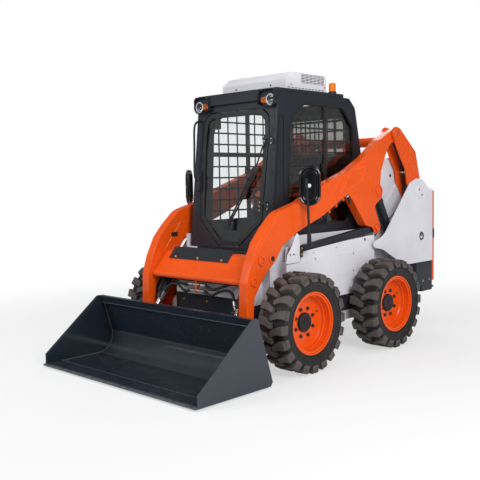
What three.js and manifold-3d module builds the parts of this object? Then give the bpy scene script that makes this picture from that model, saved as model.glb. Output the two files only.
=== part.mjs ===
// Compact wheeled loader with a vertical lift linkage, a closed cab and a bucket.
// Millimetres, +Z up, +Y towards the rear, +X towards the operator's left.
import * as THREE from 'three';
import { mergeVertices } from 'three/addons/utils/BufferGeometryUtils.js';
import Module from 'manifold-3d';

const wasm = await Module();
wasm.setup();

// ---------- driving dimensions ----------
const FIT = 0.3;                 // gap left between pieces that touch
const RUN = 6;                   // clear gap beside a moving piece

const WHEELBASE = 1140;
const TYRE_R = 385;
const TYRE_IN_X = 662;           // inner and outer side of the tyre
const TYRE_OUT_X = 910;
const RIM_R = 242;
const HUB_R = 75;
const FRAME_LIFT = 12;           // the chassis datum over the ground

const ARM_IN_X = 528;            // the lift arm's box between its side faces
const ARM_OUT_X = 613;
const LINK_T = 14;               // rear link plates
const CONTROL_T = 44;            // control link bar
const CONTROL_H = 62;
const TOWER_T = 14;              // upright plates

const CAB_HALF = 460;
const DECK_Z = 895;              // the deck that the cab stands on
const CAB_FLOOR_Z = DECK_Z + FIT;
const CAB_TOP_Z = 2150;
const ROOF_Z = 2182;
const CAB_WALL = 45;
const GLASS_T = 6;

const BUCKET_HALF = 910;
const BUCKET_T = 9;
const BUCKET_SIDE_T = 12;

const FRAME_HALF = 485;          // rear engine bay, outside
const TUB_HALF = 400;            // footwell tub, outside
const PANEL_X = 606;             // middle of the outer side skin
const PANEL_T = 12;
const PLATE = 10;

// pivots of the lift linkage, as [y, z] from the chassis datum
const FRONT_PIN = [-420, 885];
const LEG_PIN = [690, 1003];
const TOP_PIN = [985, 1847];
const TOWER_PIN = [1345, 1309];
const LIFT_EYE = [724, 1334];
const LIFT_BASE = [1083, 715];
const BUCKET_PIN = [-1035, 172];
const TILT_BASE = [-690, 850];
const TILT_ARM = 140;            // bucket pin to tilt rod eye
const TILT_ANGLE = 95;           // its direction at rest, in degrees

const LIFT_PIN_R = 20;
const LIFT_BORE_R = 41;
const LIFT_ROD_R = 24;
const LIFT_BARREL_L = 632;
const TILT_X = 462;
const TILT_PIN_R = 16;
const TILT_BORE_R = 34;
const TILT_ROD_R = 18;
const TILT_BARREL_L = 440;
const PIN_FIT = 0.5;             // radial clearance of a pin in its eye

// ---------- materials ----------
function paint(name, color, roughness, metalness) {
  return new THREE.MeshStandardMaterial({ name, color, roughness, metalness });
}
const ORANGE = paint('orange_paint', 0xee4a17, 0.35, 0.0);
const WHITE = paint('white_paint', 0xe8e6ea, 0.35, 0.0);
const CHARCOAL = paint('charcoal_paint', 0x2a3037, 0.45, 0.0);
const BLACK = paint('black_plastic', 0x17181a, 0.5, 0.0);
const STEEL = paint('bright_steel', 0xc4c7ca, 0.25, 1.0);
const RUBBER = paint('tyre_rubber', 0x2b2725, 0.9, 0.0);
const GLASS = paint('clear_glass', 0xcfe3e6, 0.05, 0.0);
const AMBER = paint('amber_lens', 0xff6a10, 0.2, 0.0);
const LAMP = paint('lamp_lens', 0xf4f4f0, 0.1, 0.0);
const HOSE = paint('hose_rubber', 0x1c1d1f, 0.7, 0.0);
const VINYL = paint('seat_vinyl', 0x202225, 0.6, 0.0);

// ---------- geometry helpers ----------
const SIDE_VIEW = new THREE.Matrix4().makeBasis(
  new THREE.Vector3(0, 1, 0), new THREE.Vector3(0, 0, 1), new THREE.Vector3(1, 0, 0));

function solid(geometry) {
  const g = geometry.clone();
  g.deleteAttribute('normal');
  g.deleteAttribute('uv');
  const merged = mergeVertices(g, 1e-4);
  const mesh = new wasm.Mesh({
    numProp: 3,
    vertProperties: new Float32Array(merged.attributes.position.array),
    triVerts: new Uint32Array(merged.index.array),
  });
  return new wasm.Manifold(mesh);
}

function shell(manifold) {
  const mesh = manifold.getMesh();
  const g = new THREE.BufferGeometry();
  g.setAttribute('position', new THREE.BufferAttribute(new Float32Array(mesh.vertProperties), 3));
  g.setIndex(new THREE.BufferAttribute(new Uint32Array(mesh.triVerts), 1));
  g.computeVertexNormals();
  return g;
}

function join(...parts) {
  return shell(parts.map(solid).reduce((a, b) => a.add(b)));
}

function cut(base, ...tools) {
  return shell(tools.map(solid).reduce((a, b) => a.subtract(b), solid(base)));
}

function common(a, b) {
  return shell(solid(a).intersect(solid(b)));
}

function box(x0, x1, y0, y1, z0, z1) {
  const g = new THREE.BoxGeometry(x1 - x0, y1 - y0, z1 - z0);
  return g.translate((x0 + x1) / 2, (y0 + y1) / 2, (z0 + z1) / 2);
}

// Turns [u, v, r] corners into a shape whose corners are rounded by arcs of radius r,
// or of the largest radius that the two sides of the corner leave room for.
function rounded(points, steps = 4) {
  const out = [];
  const n = points.length;
  for (let i = 0; i < n; i += 1) {
    const [u, v, r = 0] = points[i];
    if (r === 0) {
      out.push(new THREE.Vector2(u, v));
      continue;
    }
    const here = new THREE.Vector2(u, v);
    const before = new THREE.Vector2(...points[(i + n - 1) % n].slice(0, 2)).sub(here);
    const after = new THREE.Vector2(...points[(i + 1) % n].slice(0, 2)).sub(here);
    const room = 0.49 * Math.min(before.length(), after.length());
    before.normalize();
    after.normalize();
    const half = Math.acos(THREE.MathUtils.clamp(before.dot(after), -1, 1)) / 2;
    const reach = Math.min(r / Math.tan(half), room);
    const radius = reach * Math.tan(half);
    const centre = before.clone().add(after).normalize().multiplyScalar(radius / Math.sin(half)).add(here);
    const from = before.clone().multiplyScalar(reach).add(here).sub(centre).angle();
    const to = after.clone().multiplyScalar(reach).add(here).sub(centre).angle();
    const turn = ((to - from + 3 * Math.PI) % (2 * Math.PI)) - Math.PI;
    for (let k = 0; k <= steps; k += 1) {
      const a = from + (turn * k) / steps;
      out.push(new THREE.Vector2(centre.x + radius * Math.cos(a), centre.y + radius * Math.sin(a)));
    }
  }
  return new THREE.Shape(out);
}

// A plate standing along the machine: its outline is in [y, z] and it fills x0 to x1.
function sidePlate(points, x0, x1, steps) {
  const shape = rounded(points, steps);
  const g = new THREE.ExtrudeGeometry(shape, { depth: x1 - x0, bevelEnabled: false });
  return g.applyMatrix4(SIDE_VIEW).translate(x0, 0, 0);
}

// A plate standing across the machine: its outline is in [x, z] and it fills y0 to y1.
function crossPlate(points, y0, y1, steps) {
  const g = new THREE.ExtrudeGeometry(rounded(points, steps), { depth: y1 - y0, bevelEnabled: false });
  return g.rotateX(Math.PI / 2).translate(0, y1, 0);
}

// A flat plate: its outline is in [x, y] and it fills z0 to z1.
function flatPlate(points, z0, z1, steps) {
  const g = new THREE.ExtrudeGeometry(rounded(points, steps), { depth: z1 - z0, bevelEnabled: false });
  return g.translate(0, 0, z0);
}

function rodX([y, z], r, x0, x1, n = 16) {
  const g = new THREE.CylinderGeometry(r, r, x1 - x0, n);
  return g.rotateZ(Math.PI / 2).translate((x0 + x1) / 2, y, z);
}

function rodY([x, z], r, y0, y1, n = 20) {
  const g = new THREE.CylinderGeometry(r, r, y1 - y0, n);
  return g.translate(x, (y0 + y1) / 2, z);
}

function rodZ([x, y], r, z0, z1, n = 20) {
  const g = new THREE.CylinderGeometry(r, r, z1 - z0, n);
  return g.rotateX(Math.PI / 2).translate(x, y, (z0 + z1) / 2);
}

// A round bar from one [y, z] point to another, in the plane x.
function rodBetween(x, from, to, r, n = 16) {
  const a = new THREE.Vector3(x, ...from);
  const b = new THREE.Vector3(x, ...to);
  const along = b.clone().sub(a);
  const g = new THREE.CylinderGeometry(r, r, along.length(), n);
  const turn = new THREE.Quaternion().setFromUnitVectors(new THREE.Vector3(0, 1, 0), along.clone().normalize());
  return g.applyQuaternion(turn).translate(...a.add(b).multiplyScalar(0.5).toArray());
}

// A flat bar with round ends about two [y, z] points.
function barBetween(from, to, half, x0, x1, steps = 6) {
  const a = Math.atan2(to[1] - from[1], to[0] - from[0]);
  const shape = new THREE.Shape();
  shape.absarc(from[0], from[1], half, a + Math.PI / 2, a + 1.5 * Math.PI, false);
  shape.absarc(to[0], to[1], half, a - Math.PI / 2, a + Math.PI / 2, false);
  const g = new THREE.ExtrudeGeometry(shape, { depth: x1 - x0, bevelEnabled: false, curveSegments: steps });
  return g.applyMatrix4(SIDE_VIEW).translate(x0, 0, 0);
}

function tube(points, r, spacing, sides = 8) {
  const path = new THREE.CatmullRomCurve3(points.map((p) => new THREE.Vector3(...p)), false, 'centripetal');
  const section = new THREE.Shape();
  section.absarc(0, 0, r, 0, 2 * Math.PI, false);
  const steps = Math.max(2, Math.round(path.getLength() / spacing));
  return new THREE.ExtrudeGeometry(section, {
    extrudePath: path, steps, curveSegments: sides / 2, bevelEnabled: false,
  });
}

function along(from, to, distance) {
  const length = Math.hypot(to[0] - from[0], to[1] - from[1]);
  return [
    from[0] + ((to[0] - from[0]) * distance) / length,
    from[1] + ((to[1] - from[1]) * distance) / length,
  ];
}

function mirrored(geometry) {
  const g = geometry.index ? geometry.toNonIndexed() : geometry.clone();
  g.scale(-1, 1, 1);
  const p = g.attributes.position;
  for (let i = 0; i < p.count; i += 3) {
    const [x, y, z] = [p.getX(i), p.getY(i), p.getZ(i)];
    p.setXYZ(i, p.getX(i + 1), p.getY(i + 1), p.getZ(i + 1));
    p.setXYZ(i + 1, x, y, z);
  }
  g.deleteAttribute('normal');
  g.deleteAttribute('uv');
  g.computeVertexNormals();
  return g;
}

const machine = new THREE.Group();
const chassis = new THREE.Group();
chassis.position.z = FRAME_LIFT;
machine.add(chassis);

function add(group, name, geometry, material) {
  const mesh = new THREE.Mesh(geometry, material);
  mesh.name = name;
  group.add(mesh);
  return mesh;
}

// Adds a left piece and its mirror image on the right.
function addPair(group, name, geometry, material) {
  add(group, `${name}_left`, geometry, material);
  add(group, `${name}_right`, mirrored(geometry), material);
}

// ---------- derived places ----------
const ARM_MID_X = (ARM_IN_X + ARM_OUT_X) / 2;
const LINK_OUT_X0 = ARM_OUT_X + RUN;
const LINK_OUT_X1 = LINK_OUT_X0 + LINK_T;
const LINK_IN_X1 = ARM_IN_X - RUN;
const LINK_IN_X0 = LINK_IN_X1 - LINK_T;
const TOWER_OUT_X0 = LINK_OUT_X1 + RUN;
const TOWER_OUT_X1 = TOWER_OUT_X0 + TOWER_T;
const TOWER_IN_X1 = LINK_IN_X0 - RUN;
const TOWER_IN_X0 = TOWER_IN_X1 - TOWER_T;
const SLOT_X0 = ARM_MID_X - CONTROL_T / 2 - RUN;
const SLOT_X1 = ARM_MID_X + CONTROL_T / 2 + RUN;
const REAR_WALL_Y = 1590;
const FRONT_LEAN = 0.108;        // the cab front leans back this much per unit of height

function cabFrontY(z) {
  return -445 - (2100 - z) * FRONT_LEAN;
}

// ---------- wheels ----------
const TYRE_MID_X = (TYRE_IN_X + TYRE_OUT_X) / 2;
const TYRE_HALF = (TYRE_OUT_X - TYRE_IN_X) / 2;
const RIM_HALF = TYRE_HALF - 15;
const RIM_LIP = 13;
const BEAD_R = RIM_R - 30;
const DISC_T = 16;
const DISC_INSET = 100;
const HOUSING_END_X = 640;
const WHEEL_SIDES = 28;
const HOUSING_R = 82;
const HUB_RUN = 0.8;
const WHEEL_Z = TYRE_R * Math.cos(Math.PI / WHEEL_SIDES);   // it stands on a flat of its tread
const AXLE_Z = WHEEL_Z - FRAME_LIFT;

// Turns a lathe profile of [radius, x] into a ring about the X axis.
function lathed(profile, segments) {
  const outline = profile.map(([r, x]) => new THREE.Vector2(r, x));
  const g = new THREE.LatheGeometry(outline, segments, Math.PI / segments);
  return g.rotateZ(-Math.PI / 2);
}

function tyre() {
  const bead = RIM_HALF - RIM_LIP - FIT;
  const half = [
    [BEAD_R, bead], [RIM_R + 4, bead], [RIM_R + 18, TYRE_HALF - 10],
    [RIM_R + 85, TYRE_HALF], [TYRE_R - 22, TYRE_HALF - 6], [TYRE_R, TYRE_HALF - 22],
  ];
  const other = half.map(([r, x]) => [r, -x]).reverse();
  const ring = [...half, ...other, half[0]];
  return lathed(ring.reverse(), WHEEL_SIDES);
}

function rim() {
  const face = RIM_HALF - DISC_INSET;
  const barrel = BEAD_R - 12;
  const seat = RIM_HALF - RIM_LIP;
  const back = HOUSING_END_X + HUB_RUN - TYRE_MID_X;
  const profile = [
    [0, back], [HUB_R - 7, back], [HUB_R - 7, face - DISC_T], [barrel, face - DISC_T],
    [barrel, -RIM_HALF], [RIM_R, -RIM_HALF], [RIM_R, -seat], [BEAD_R - FIT, -seat],
    [BEAD_R - FIT, seat], [RIM_R, seat], [RIM_R, RIM_HALF], [barrel, RIM_HALF],
    [barrel, face], [HUB_R, face], [HUB_R, face + 22], [0, face + 22],
  ];
  return lathed(profile, WHEEL_SIDES);
}

for (const [name, side, y] of [
  ['front_left', 1, -WHEELBASE / 2], ['front_right', -1, -WHEELBASE / 2],
  ['rear_left', 1, WHEELBASE / 2], ['rear_right', -1, WHEELBASE / 2],
]) {
  const wheel = new THREE.Group();
  wheel.position.set(side * TYRE_MID_X, y, WHEEL_Z);
  if (side < 0) wheel.rotation.z = Math.PI;
  add(wheel, `tyre_${name}`, tyre(), RUBBER);
  add(wheel, `rim_${name}`, rim(), ORANGE);
  machine.add(wheel);
}

// ---------- main frame ----------
const FRONT_Y = -800;
const TUB_Z0 = 200;
const TUB_Z1 = 640;
const BAY_REAR_Y = 1385;
const BODY_FRONT_Y = -600;
const BODY_REAR_Y = 655;
const BODY_TOP_Z = 1000;
const TANK_Z0 = 250;
const TANK_Z1 = 800;
const TANK_FRONT_Y = -480;
const TANK_REAR_Y = 600;
const WELL_HALF = 355;
const WELL_FRONT_Y = -760;
const WELL_REAR_Y = -150;
const RAIL_Z0 = TUB_Z1 - 50;      // rails that carry the uprights and the engine cover
const RAIL_Z1 = 700;
const TANK_X = PANEL_X - PANEL_T / 2 - FIT;
const WALL_X = TOWER_IN_X0 - FIT;

function frontPinBracket() {
  const [y, z] = FRONT_PIN;
  const base = TANK_Z1 - PLATE;
  const outline = [[y - 50, base], [y + 60, base], [y + 42, z + 38, 20], [y - 42, z + 38, 20]];
  return [
    sidePlate(outline, ARM_IN_X, SLOT_X0),
    sidePlate(outline, SLOT_X1, TANK_X),
    rodX(FRONT_PIN, LIFT_PIN_R, ARM_IN_X + 1, TANK_X - 1),
  ];
}

function mainFrame() {
  const tub = box(-TUB_HALF, TUB_HALF, FRONT_Y, BAY_REAR_Y, TUB_Z0, TUB_Z1);
  const body = box(-WALL_X, WALL_X, BODY_FRONT_Y, BODY_REAR_Y, TANK_Z0 + 150, BODY_TOP_Z);
  const tanks = box(-TANK_X, TANK_X, TANK_FRONT_Y, TANK_REAR_Y, TANK_Z0, TANK_Z1);
  const kneeZ = TUB_Z1 - 10;
  const knee = sidePlate([
    [FRONT_Y, kneeZ], [FRONT_Y + 15, kneeZ], [cabFrontY(DECK_Z) + 16, DECK_Z],
    [cabFrontY(DECK_Z), DECK_Z],
  ], -TUB_HALF, TUB_HALF);
  const housings = [-1, 1].flatMap((end) => [
    rodX([end * WHEELBASE / 2, AXLE_Z], HOUSING_R, -HOUSING_END_X, HOUSING_END_X),
  ]);
  const brackets = frontPinBracket();
  const rails = [-1, 1].map((side) => {
    const inside = side * (TUB_HALF - 12);
    const outside = side * WALL_X;
    return box(Math.min(inside, outside), Math.max(inside, outside), BODY_REAR_Y - 5, BAY_REAR_Y, RAIL_Z0, RAIL_Z1);
  });
  const whole = join(tub, body, tanks, ...rails, ...housings, ...brackets, ...brackets.map(mirrored));
  const well = box(-WELL_HALF, WELL_HALF, WELL_FRONT_Y, WELL_REAR_Y, TUB_Z0 + 60, BODY_TOP_Z + 50);
  const cabSpace = box(-WALL_X + 12, WALL_X - 12, BODY_FRONT_Y - 50, BODY_REAR_Y + 50, DECK_Z, BODY_TOP_Z + 50);
  const wall = TUB_HALF - 12;
  const bayFront = WELL_REAR_Y + 12;
  const bay = box(-wall, wall, bayFront, BAY_REAR_Y + 50, TUB_Z0 + 15, RAIL_Z1 + 20);
  const underDeck = box(-wall, wall, bayFront, BODY_REAR_Y + 50, TUB_Z1 + 10, DECK_Z - 15);
  return join(cut(whole, well, cabSpace, bay, underDeck), knee);
}
add(chassis, 'main_frame', mainFrame(), WHITE);

function sidePanel() {
  const [, legZ] = LEG_PIN;
  const top = legZ - 55;
  const skin = sidePlate([
    [-545, 330], [-545, 790, 25], [-372, 800, 10], [-345, 880, 20], [215, top - 22],
    [600, top], [BODY_REAR_Y, top], [BODY_REAR_Y, 330, 40],
  ], PANEL_X - PANEL_T / 2, PANEL_X + PANEL_T / 2);
  const holes = [-1, 1].map((end) => (
    rodX([end * WHEELBASE / 2, AXLE_Z], HOUSING_R + FIT, PANEL_X - PANEL_T, PANEL_X + PANEL_T)));
  return cut(skin, ...holes);
}
addPair(chassis, 'side_panel', sidePanel(), WHITE);

// ---------- uprights ----------
const TOWER_FLOOR_Z = 640;
const REAR_PLATE_T = 15;
const HINGE_X = 585;
const HINGE_Y = 1621;
const HINGE_PIN_R = 8;
const HINGE_Z = [690, 1200];
const HINGE_H = 36;
const LAMP_HOLE = [1387, 890];

function hingeBracket(z) {
  return [
    box(HINGE_X - 14, HINGE_X + 14, REAR_WALL_Y - 2, HINGE_Y, z, z + HINGE_H),
    rodZ([HINGE_X, HINGE_Y], 14, z, z + HINGE_H),
    rodZ([HINGE_X, HINGE_Y], HINGE_PIN_R, z, z + 2 * HINGE_H + 6, 12),
  ];
}

function upright() {
  const [, pinZ] = TOWER_PIN;
  const top = [
    [REAR_WALL_Y, pinZ + 20], [1520, 1342, 30], [1410, 1428, 40],
    [1300, 1440, 50], [1191, 1402, 60],
  ];
  const outer = [
    ...top, [757, 940, 200], [606, 893, 10], [584, 858, 20], [618, 833, 10], [726, 814, 60],
    [896, 730, 60], [1090, TOWER_FLOOR_Z], [REAR_WALL_Y, TOWER_FLOOR_Z],
  ];
  const inner = [
    ...top, [900, 1100], [BODY_REAR_Y + 6, 1000], [BODY_REAR_Y + 6, 820], [900, TOWER_FLOOR_Z],
    [REAR_WALL_Y, TOWER_FLOOR_Z],
  ];
  const x0 = TOWER_IN_X0;
  const x1 = TOWER_OUT_X1;
  const whole = join(
    sidePlate(outer, TOWER_OUT_X0, x1),
    sidePlate(inner, x0, TOWER_IN_X1),
    box(x0 + 1, x1 - 1, REAR_WALL_Y - REAR_PLATE_T, REAR_WALL_Y, TOWER_FLOOR_Z + 1, pinZ),
    box(x0 + 1, x1 - 1, 980, REAR_WALL_Y - 1, TOWER_FLOOR_Z, TOWER_FLOOR_Z + 14),
    box(x0 + 1, x1 - 1, BODY_REAR_Y + 8, 760, 826, 840),
    rodX(LIFT_BASE, LIFT_PIN_R, x0 + 1, x1 - 1),
    rodX(TOWER_PIN, 58, x1 - 1, x1 + 12, 32),
    ...HINGE_Z.flatMap(hingeBracket),
  );
  return cut(whole, rodX(LAMP_HOLE, 40, TOWER_OUT_X0 - 5, x1 + 5));
}
addPair(chassis, 'upright', upright(), WHITE);

// ---------- rear end ----------
function bumper() {
  const x = TOWER_OUT_X1;
  const beam = box(-x, x, BAY_REAR_Y + FIT, REAR_WALL_Y - 5, 352, TOWER_FLOOR_Z - FIT);
  const wings = [-1, 1].map((s) => box(s > 0 ? 500 : -x, s > 0 ? x : -500, 1292, BAY_REAR_Y + 10, 400, TOWER_FLOOR_Z - FIT));
  const lugs = [-1, 1].map((s) => rodY([s * 560, 377], 15, REAR_WALL_Y - 7, 1667, 16));
  const inside = box(-TUB_HALF + 12, TUB_HALF - 12, BAY_REAR_Y, REAR_WALL_Y, 440, TOWER_FLOOR_Z + 5);
  return cut(join(beam, ...wings, ...lugs), inside);
}
add(chassis, 'rear_bumper', bumper(), CHARCOAL);

const HOOD_HALF = TOWER_IN_X0 - FIT;
const HOOD_T = 10;
function engineCover() {
  const front = 708;
  const outline = [
    [front, RAIL_Z1 + FIT], [front, 1590, 20], [1090, 1638, 60], [1320, 1516, 50], [1372, 1440, 60],
    [1400, 1330, 30], [REAR_WALL_Y - 20, 1330], [REAR_WALL_Y - 20, RAIL_Z1 + FIT],
  ];
  const inner = [
    [front + HOOD_T, RAIL_Z1 - 10], [front + HOOD_T, 1582, 15], [1088, 1627, 55], [1313, 1508, 45],
    [1362, 1436, 55], [1392, 1320, 28], [REAR_WALL_Y, 1320], [REAR_WALL_Y, RAIL_Z1 - 10],
  ];
  return cut(
    sidePlate(outline, -HOOD_HALF, HOOD_HALF),
    sidePlate(inner, -HOOD_HALF + HOOD_T, HOOD_HALF - HOOD_T),
  );
}
add(chassis, 'engine_cover', engineCover(), WHITE);

function tailgate() {
  const half = 565;
  const z0 = 431;
  const z1 = 1340;
  const leaf = crossPlate([
    [-half, z0, 15], [half, z0, 15], [half, z1 - 60, 20], [half - 60, z1, 30],
    [-half + 60, z1, 30], [-half, z1 - 60, 20],
  ], HINGE_Y - 5, HINGE_Y + 35);
  const knuckles = HINGE_Z.map((z) => join(
    rodZ([-HINGE_X, HINGE_Y], 14, z + HINGE_H + 6, z + 2 * HINGE_H + 6),
    box(-HINGE_X, -half + 3, HINGE_Y - 4, HINGE_Y + 14, z + HINGE_H + 6, z + 2 * HINGE_H + 6),
  ));
  const bores = HINGE_Z.map((z) => rodZ([-HINGE_X, HINGE_Y], HINGE_PIN_R + PIN_FIT, z, z + 3 * HINGE_H, 12));
  return cut(join(leaf, ...knuckles), ...bores);
}
add(chassis, 'tailgate', tailgate(), ORANGE);

add(chassis, 'engine_block', join(
  box(-250, 250, 800, 1330, 330, 880),
  box(-300, 300, 860, 1270, 215 + FIT, 331),
), CHARCOAL);

// ---------- lift linkage ----------
function liftArm() {
  const [pinY, pinZ] = BUCKET_PIN;
  const [topY, topZ] = TOP_PIN;
  const [legY, legZ] = LEG_PIN;
  const outline = [
    [pinY + 42, pinZ - 40, 40], [-930, 400, 60], [-918, 575, 60], [-809, 727, 80], [-672, 835, 60],
    [-590, 945, 80], [-405, 1041, 100], [-75, 1156, 200], [268, 1322, 40], [330, 1268, 20],
    [521, 1040, 15], [legY - 60, legZ + 12, 10], [legY - 30, legZ - 42, 30], [legY + 52, legZ - 42, 40],
    [legY + 56, legZ + 30, 20], [655, 1205, 40], [770, 1268, 20], [795, 1340, 40], [750, 1400, 30],
    [768, 1520, 150], [862, 1701, 80], [937, 1769, 40], [topY + 62, topZ - 62, 58],
    [topY + 62, topZ + 60, 58], [931, 1876, 40], [743, 1787, 150], [512, 1631, 200], [280, 1519, 200],
    [-106, 1393, 200], [-380, 1272, 200], [-640, 1205, 200], [-773, 1087, 150], [-867, 987, 150],
    [-945, 835, 150], [-994, 690, 100], [-1003, 450, 100], [pinY - 38, pinZ + 20, 60], [pinY - 40, pinZ - 40, 40],
  ];
  const arm = cut(
    sidePlate(outline, ARM_IN_X, ARM_OUT_X, 3),
    rodX(BUCKET_PIN, LIFT_PIN_R + PIN_FIT, ARM_IN_X - 5, ARM_OUT_X + 5),
    rodX(TOP_PIN, LIFT_PIN_R + PIN_FIT, ARM_IN_X - 5, ARM_OUT_X + 5),
    rodX(LEG_PIN, 112, SLOT_X0, SLOT_X1, 24),
    rodX(LIFT_EYE, 172, SLOT_X0, SLOT_X1, 28),
  );
  return join(
    arm,
    rodX(LEG_PIN, LIFT_PIN_R, ARM_IN_X + 1, ARM_OUT_X - 1),
    rodX(LIFT_EYE, 46, ARM_OUT_X - 1, ARM_OUT_X + 4, 28),
    rodX(TILT_BASE, 38, TILT_X + TILT_BORE_R + RUN, ARM_IN_X + 1),
    rodX(TILT_BASE, TILT_PIN_R, TILT_X - 22, ARM_IN_X + 1),
    rodX(TILT_BASE, 22, TILT_X - 30, TILT_X - 21),
  );
}

const boom = new THREE.Group();
chassis.add(boom);
addPair(boom, 'lift_arm', liftArm(), ORANGE);

function frontCrossMember() {
  const x = ARM_IN_X - FIT;
  return join(
    sidePlate([
      [-945, 705], [-934, 695], [-800, 852, 20], [-762, 866], [-765, 881], [-812, 866, 25],
    ], -x, x),
    rodX([-930, 690], 27, -x, x),
  );
}
add(boom, 'front_cross_member', frontCrossMember(), ORANGE);

// A step of folded plate bolted to the upper half of the cross member.
function stepPlate() {
  const low = [-855, 814];
  const high = [-780, 905];
  const thick = 6;
  const turn = Math.atan2(high[1] - low[1], high[0] - low[0]);
  const out = [-Math.sin(turn), Math.cos(turn)];
  const edge = ([y, z], off) => [y + out[0] * off, z + out[1] * off];
  return sidePlate([
    edge(low, FIT), edge(high, FIT), edge(high, FIT + thick), edge(low, FIT + thick),
  ], -420, 275);
}
add(boom, 'step_plate', stepPlate(), CHARCOAL);

// Hydraulic lines that the boom carries below its cross member, on one coupling block.
const HOSE_R = 12;
const HOSE_SIDES = 6;
function frontHoses() {
  const lanes = [
    [[-120, -880, 628], [-203, -880, 612], [-317, -878, 638], [-385, -845, 700], [-412, -790, 762]],
    [[-100, -880, 573], [-200, -884, 560], [-290, -890, 610], [-360, -905, 600], [-400, -922, 540]],
    [[15, -880, 620], [120, -880, 596], [215, -880, 620], [310, -872, 652], [385, -838, 706], [412, -790, 762]],
    [[0, -880, 573], [110, -884, 549], [215, -888, 590], [300, -892, 606], [368, -905, 586], [400, -922, 530]],
  ];
  return join(
    sidePlate([[-890, 556], [-866, 556], [-866, 774.2], [-890, 746]], -75, -35),
    rodX([-880, 624], 17, -140, 32, 12),
    rodX([-880, 573], 17, -120, 14, 12),
    ...lanes.map((lane) => tube(lane, HOSE_R, 34, HOSE_SIDES)),
  );
}
add(boom, 'front_hoses', frontHoses(), HOSE);

// A steel line clipped under the arm, from the middle of its length to the notch.
function armPipe() {
  const x = ARM_OUT_X - 14;
  const drop = 15;
  const lane = [[-60, 1163], [100, 1240.5], [262, 1319]].map(([y, z]) => [x, y + 5, z - drop]);
  const [, middle] = lane;
  const clips = [0.2, 0.5, 0.8].map((t) => {
    const y = lane[0][1] + (lane[2][1] - lane[0][1]) * t;
    const z = lane[0][2] + (lane[2][2] - lane[0][2]) * t;
    return box(x - 9, x + 9, y - 4, y + 4, z - 10, z + 15.2);
  });
  const elbow = tube([lane[2], [x, 283, 1290], [x - 4, 303, 1268], [x - 8, 318, 1240]], 10, 18, HOSE_SIDES);
  return join(tube([lane[0], middle, lane[2]], 8, 60, HOSE_SIDES), elbow, ...clips);
}
addPair(boom, 'arm_pipe', armPipe(), HOSE);

add(boom, 'rear_cross_tube', rodX([890, 1778], 45, -ARM_IN_X + FIT, ARM_IN_X - FIT, 28), ORANGE);

function rearLink() {
  const [topY, topZ] = TOP_PIN;
  const [lowY, lowZ] = TOWER_PIN;
  const outline = [
    [topY - 66, topZ - 10, 60], [topY - 40, topZ + 72, 58], [1040, 1902, 30], [1312, 1690, 60],
    [1362, 1526, 120], [lowY + 62, lowZ + 60, 80], [lowY + 58, lowZ - 62, 55], [lowY - 66, lowZ - 58, 55],
    [1166, 1394, 60], [1141, 1526, 120], [1060, 1623, 100],
  ];
  const web = [
    [1258, 1715, 20], [1312, 1688, 40], [1362, 1526, 120], [lowY + 58, lowZ + 60, 60],
    [lowY + 50, lowZ - 50, 45], [lowY - 50, lowZ - 50, 45], [1290, 1420, 80], [1285, 1540, 80],
  ];
  return join(
    sidePlate(outline, LINK_OUT_X0, LINK_OUT_X1),
    sidePlate(outline, LINK_IN_X0, LINK_IN_X1),
    sidePlate(web, LINK_IN_X1 - 1, LINK_OUT_X0 + 1),
    rodX(TOP_PIN, LIFT_PIN_R, LINK_IN_X0 + 1, LINK_OUT_X1 + 8),
    rodX(TOP_PIN, 34, LINK_OUT_X1 - 1, LINK_OUT_X1 + 8),
  );
}
addPair(chassis, 'rear_link', rearLink(), ORANGE);

// Two hoses clipped between the link's plates, just ahead of its web.
function linkHoses() {
  const lane = [[1062, 1764], [1112, 1690], [1165, 1600], [1205, 1500], [1228, 1400], [1236, 1300]];
  const hoses = [-18, 18].map((side) => (
    tube(lane.map(([y, z]) => [ARM_MID_X + side, y, z]), HOSE_R, 40, HOSE_SIDES)));
  const clip = box(LINK_IN_X1 + FIT, LINK_OUT_X0 - FIT, 1190, 1222, 1492, 1506);
  return join(...hoses, clip);
}
addPair(chassis, 'link_hoses', linkHoses(), HOSE);

function controlLink() {
  const x0 = ARM_MID_X - CONTROL_T / 2;
  const x1 = ARM_MID_X + CONTROL_T / 2;
  return cut(
    barBetween(FRONT_PIN, LEG_PIN, CONTROL_H / 2, x0, x1),
    rodX(FRONT_PIN, LIFT_PIN_R + PIN_FIT, x0 - 5, x1 + 5),
    rodX(LEG_PIN, LIFT_PIN_R + PIN_FIT, x0 - 5, x1 + 5),
  );
}
addPair(chassis, 'control_link', controlLink(), CHARCOAL);

// A cylinder barrel lying along the line from its base eye to the rod eye.
function barrel(x, base, eye, size) {
  const start = size.eyeR * 0.85;
  const body = rodBetween(x, along(base, eye, start), along(base, eye, size.length), size.boreR);
  const gland = rodBetween(x, along(base, eye, size.length - 30), along(base, eye, size.length), size.boreR + 3);
  const foot = rodX(base, size.eyeR, x - size.eyeT / 2, x + size.eyeT / 2);
  return cut(
    join(body, gland, foot),
    rodX(base, size.pinR + PIN_FIT, x - size.boreR - 5, x + size.boreR + 5),
    rodBetween(x, along(base, eye, size.blind), along(base, eye, size.length + 5), size.rodR + PIN_FIT),
  );
}

function rod(x, base, eye, size) {
  const reach = Math.hypot(eye[0] - base[0], eye[1] - base[1]);
  const head = rodX(eye, size.eyeR, x - size.eyeT / 2, x + size.eyeT / 2);
  return cut(
    join(rodBetween(x, along(base, eye, size.rodStart), along(base, eye, reach), size.rodR), head),
    rodX(eye, size.pinR + PIN_FIT, x - size.eyeT, x + size.eyeT),
  );
}

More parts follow.
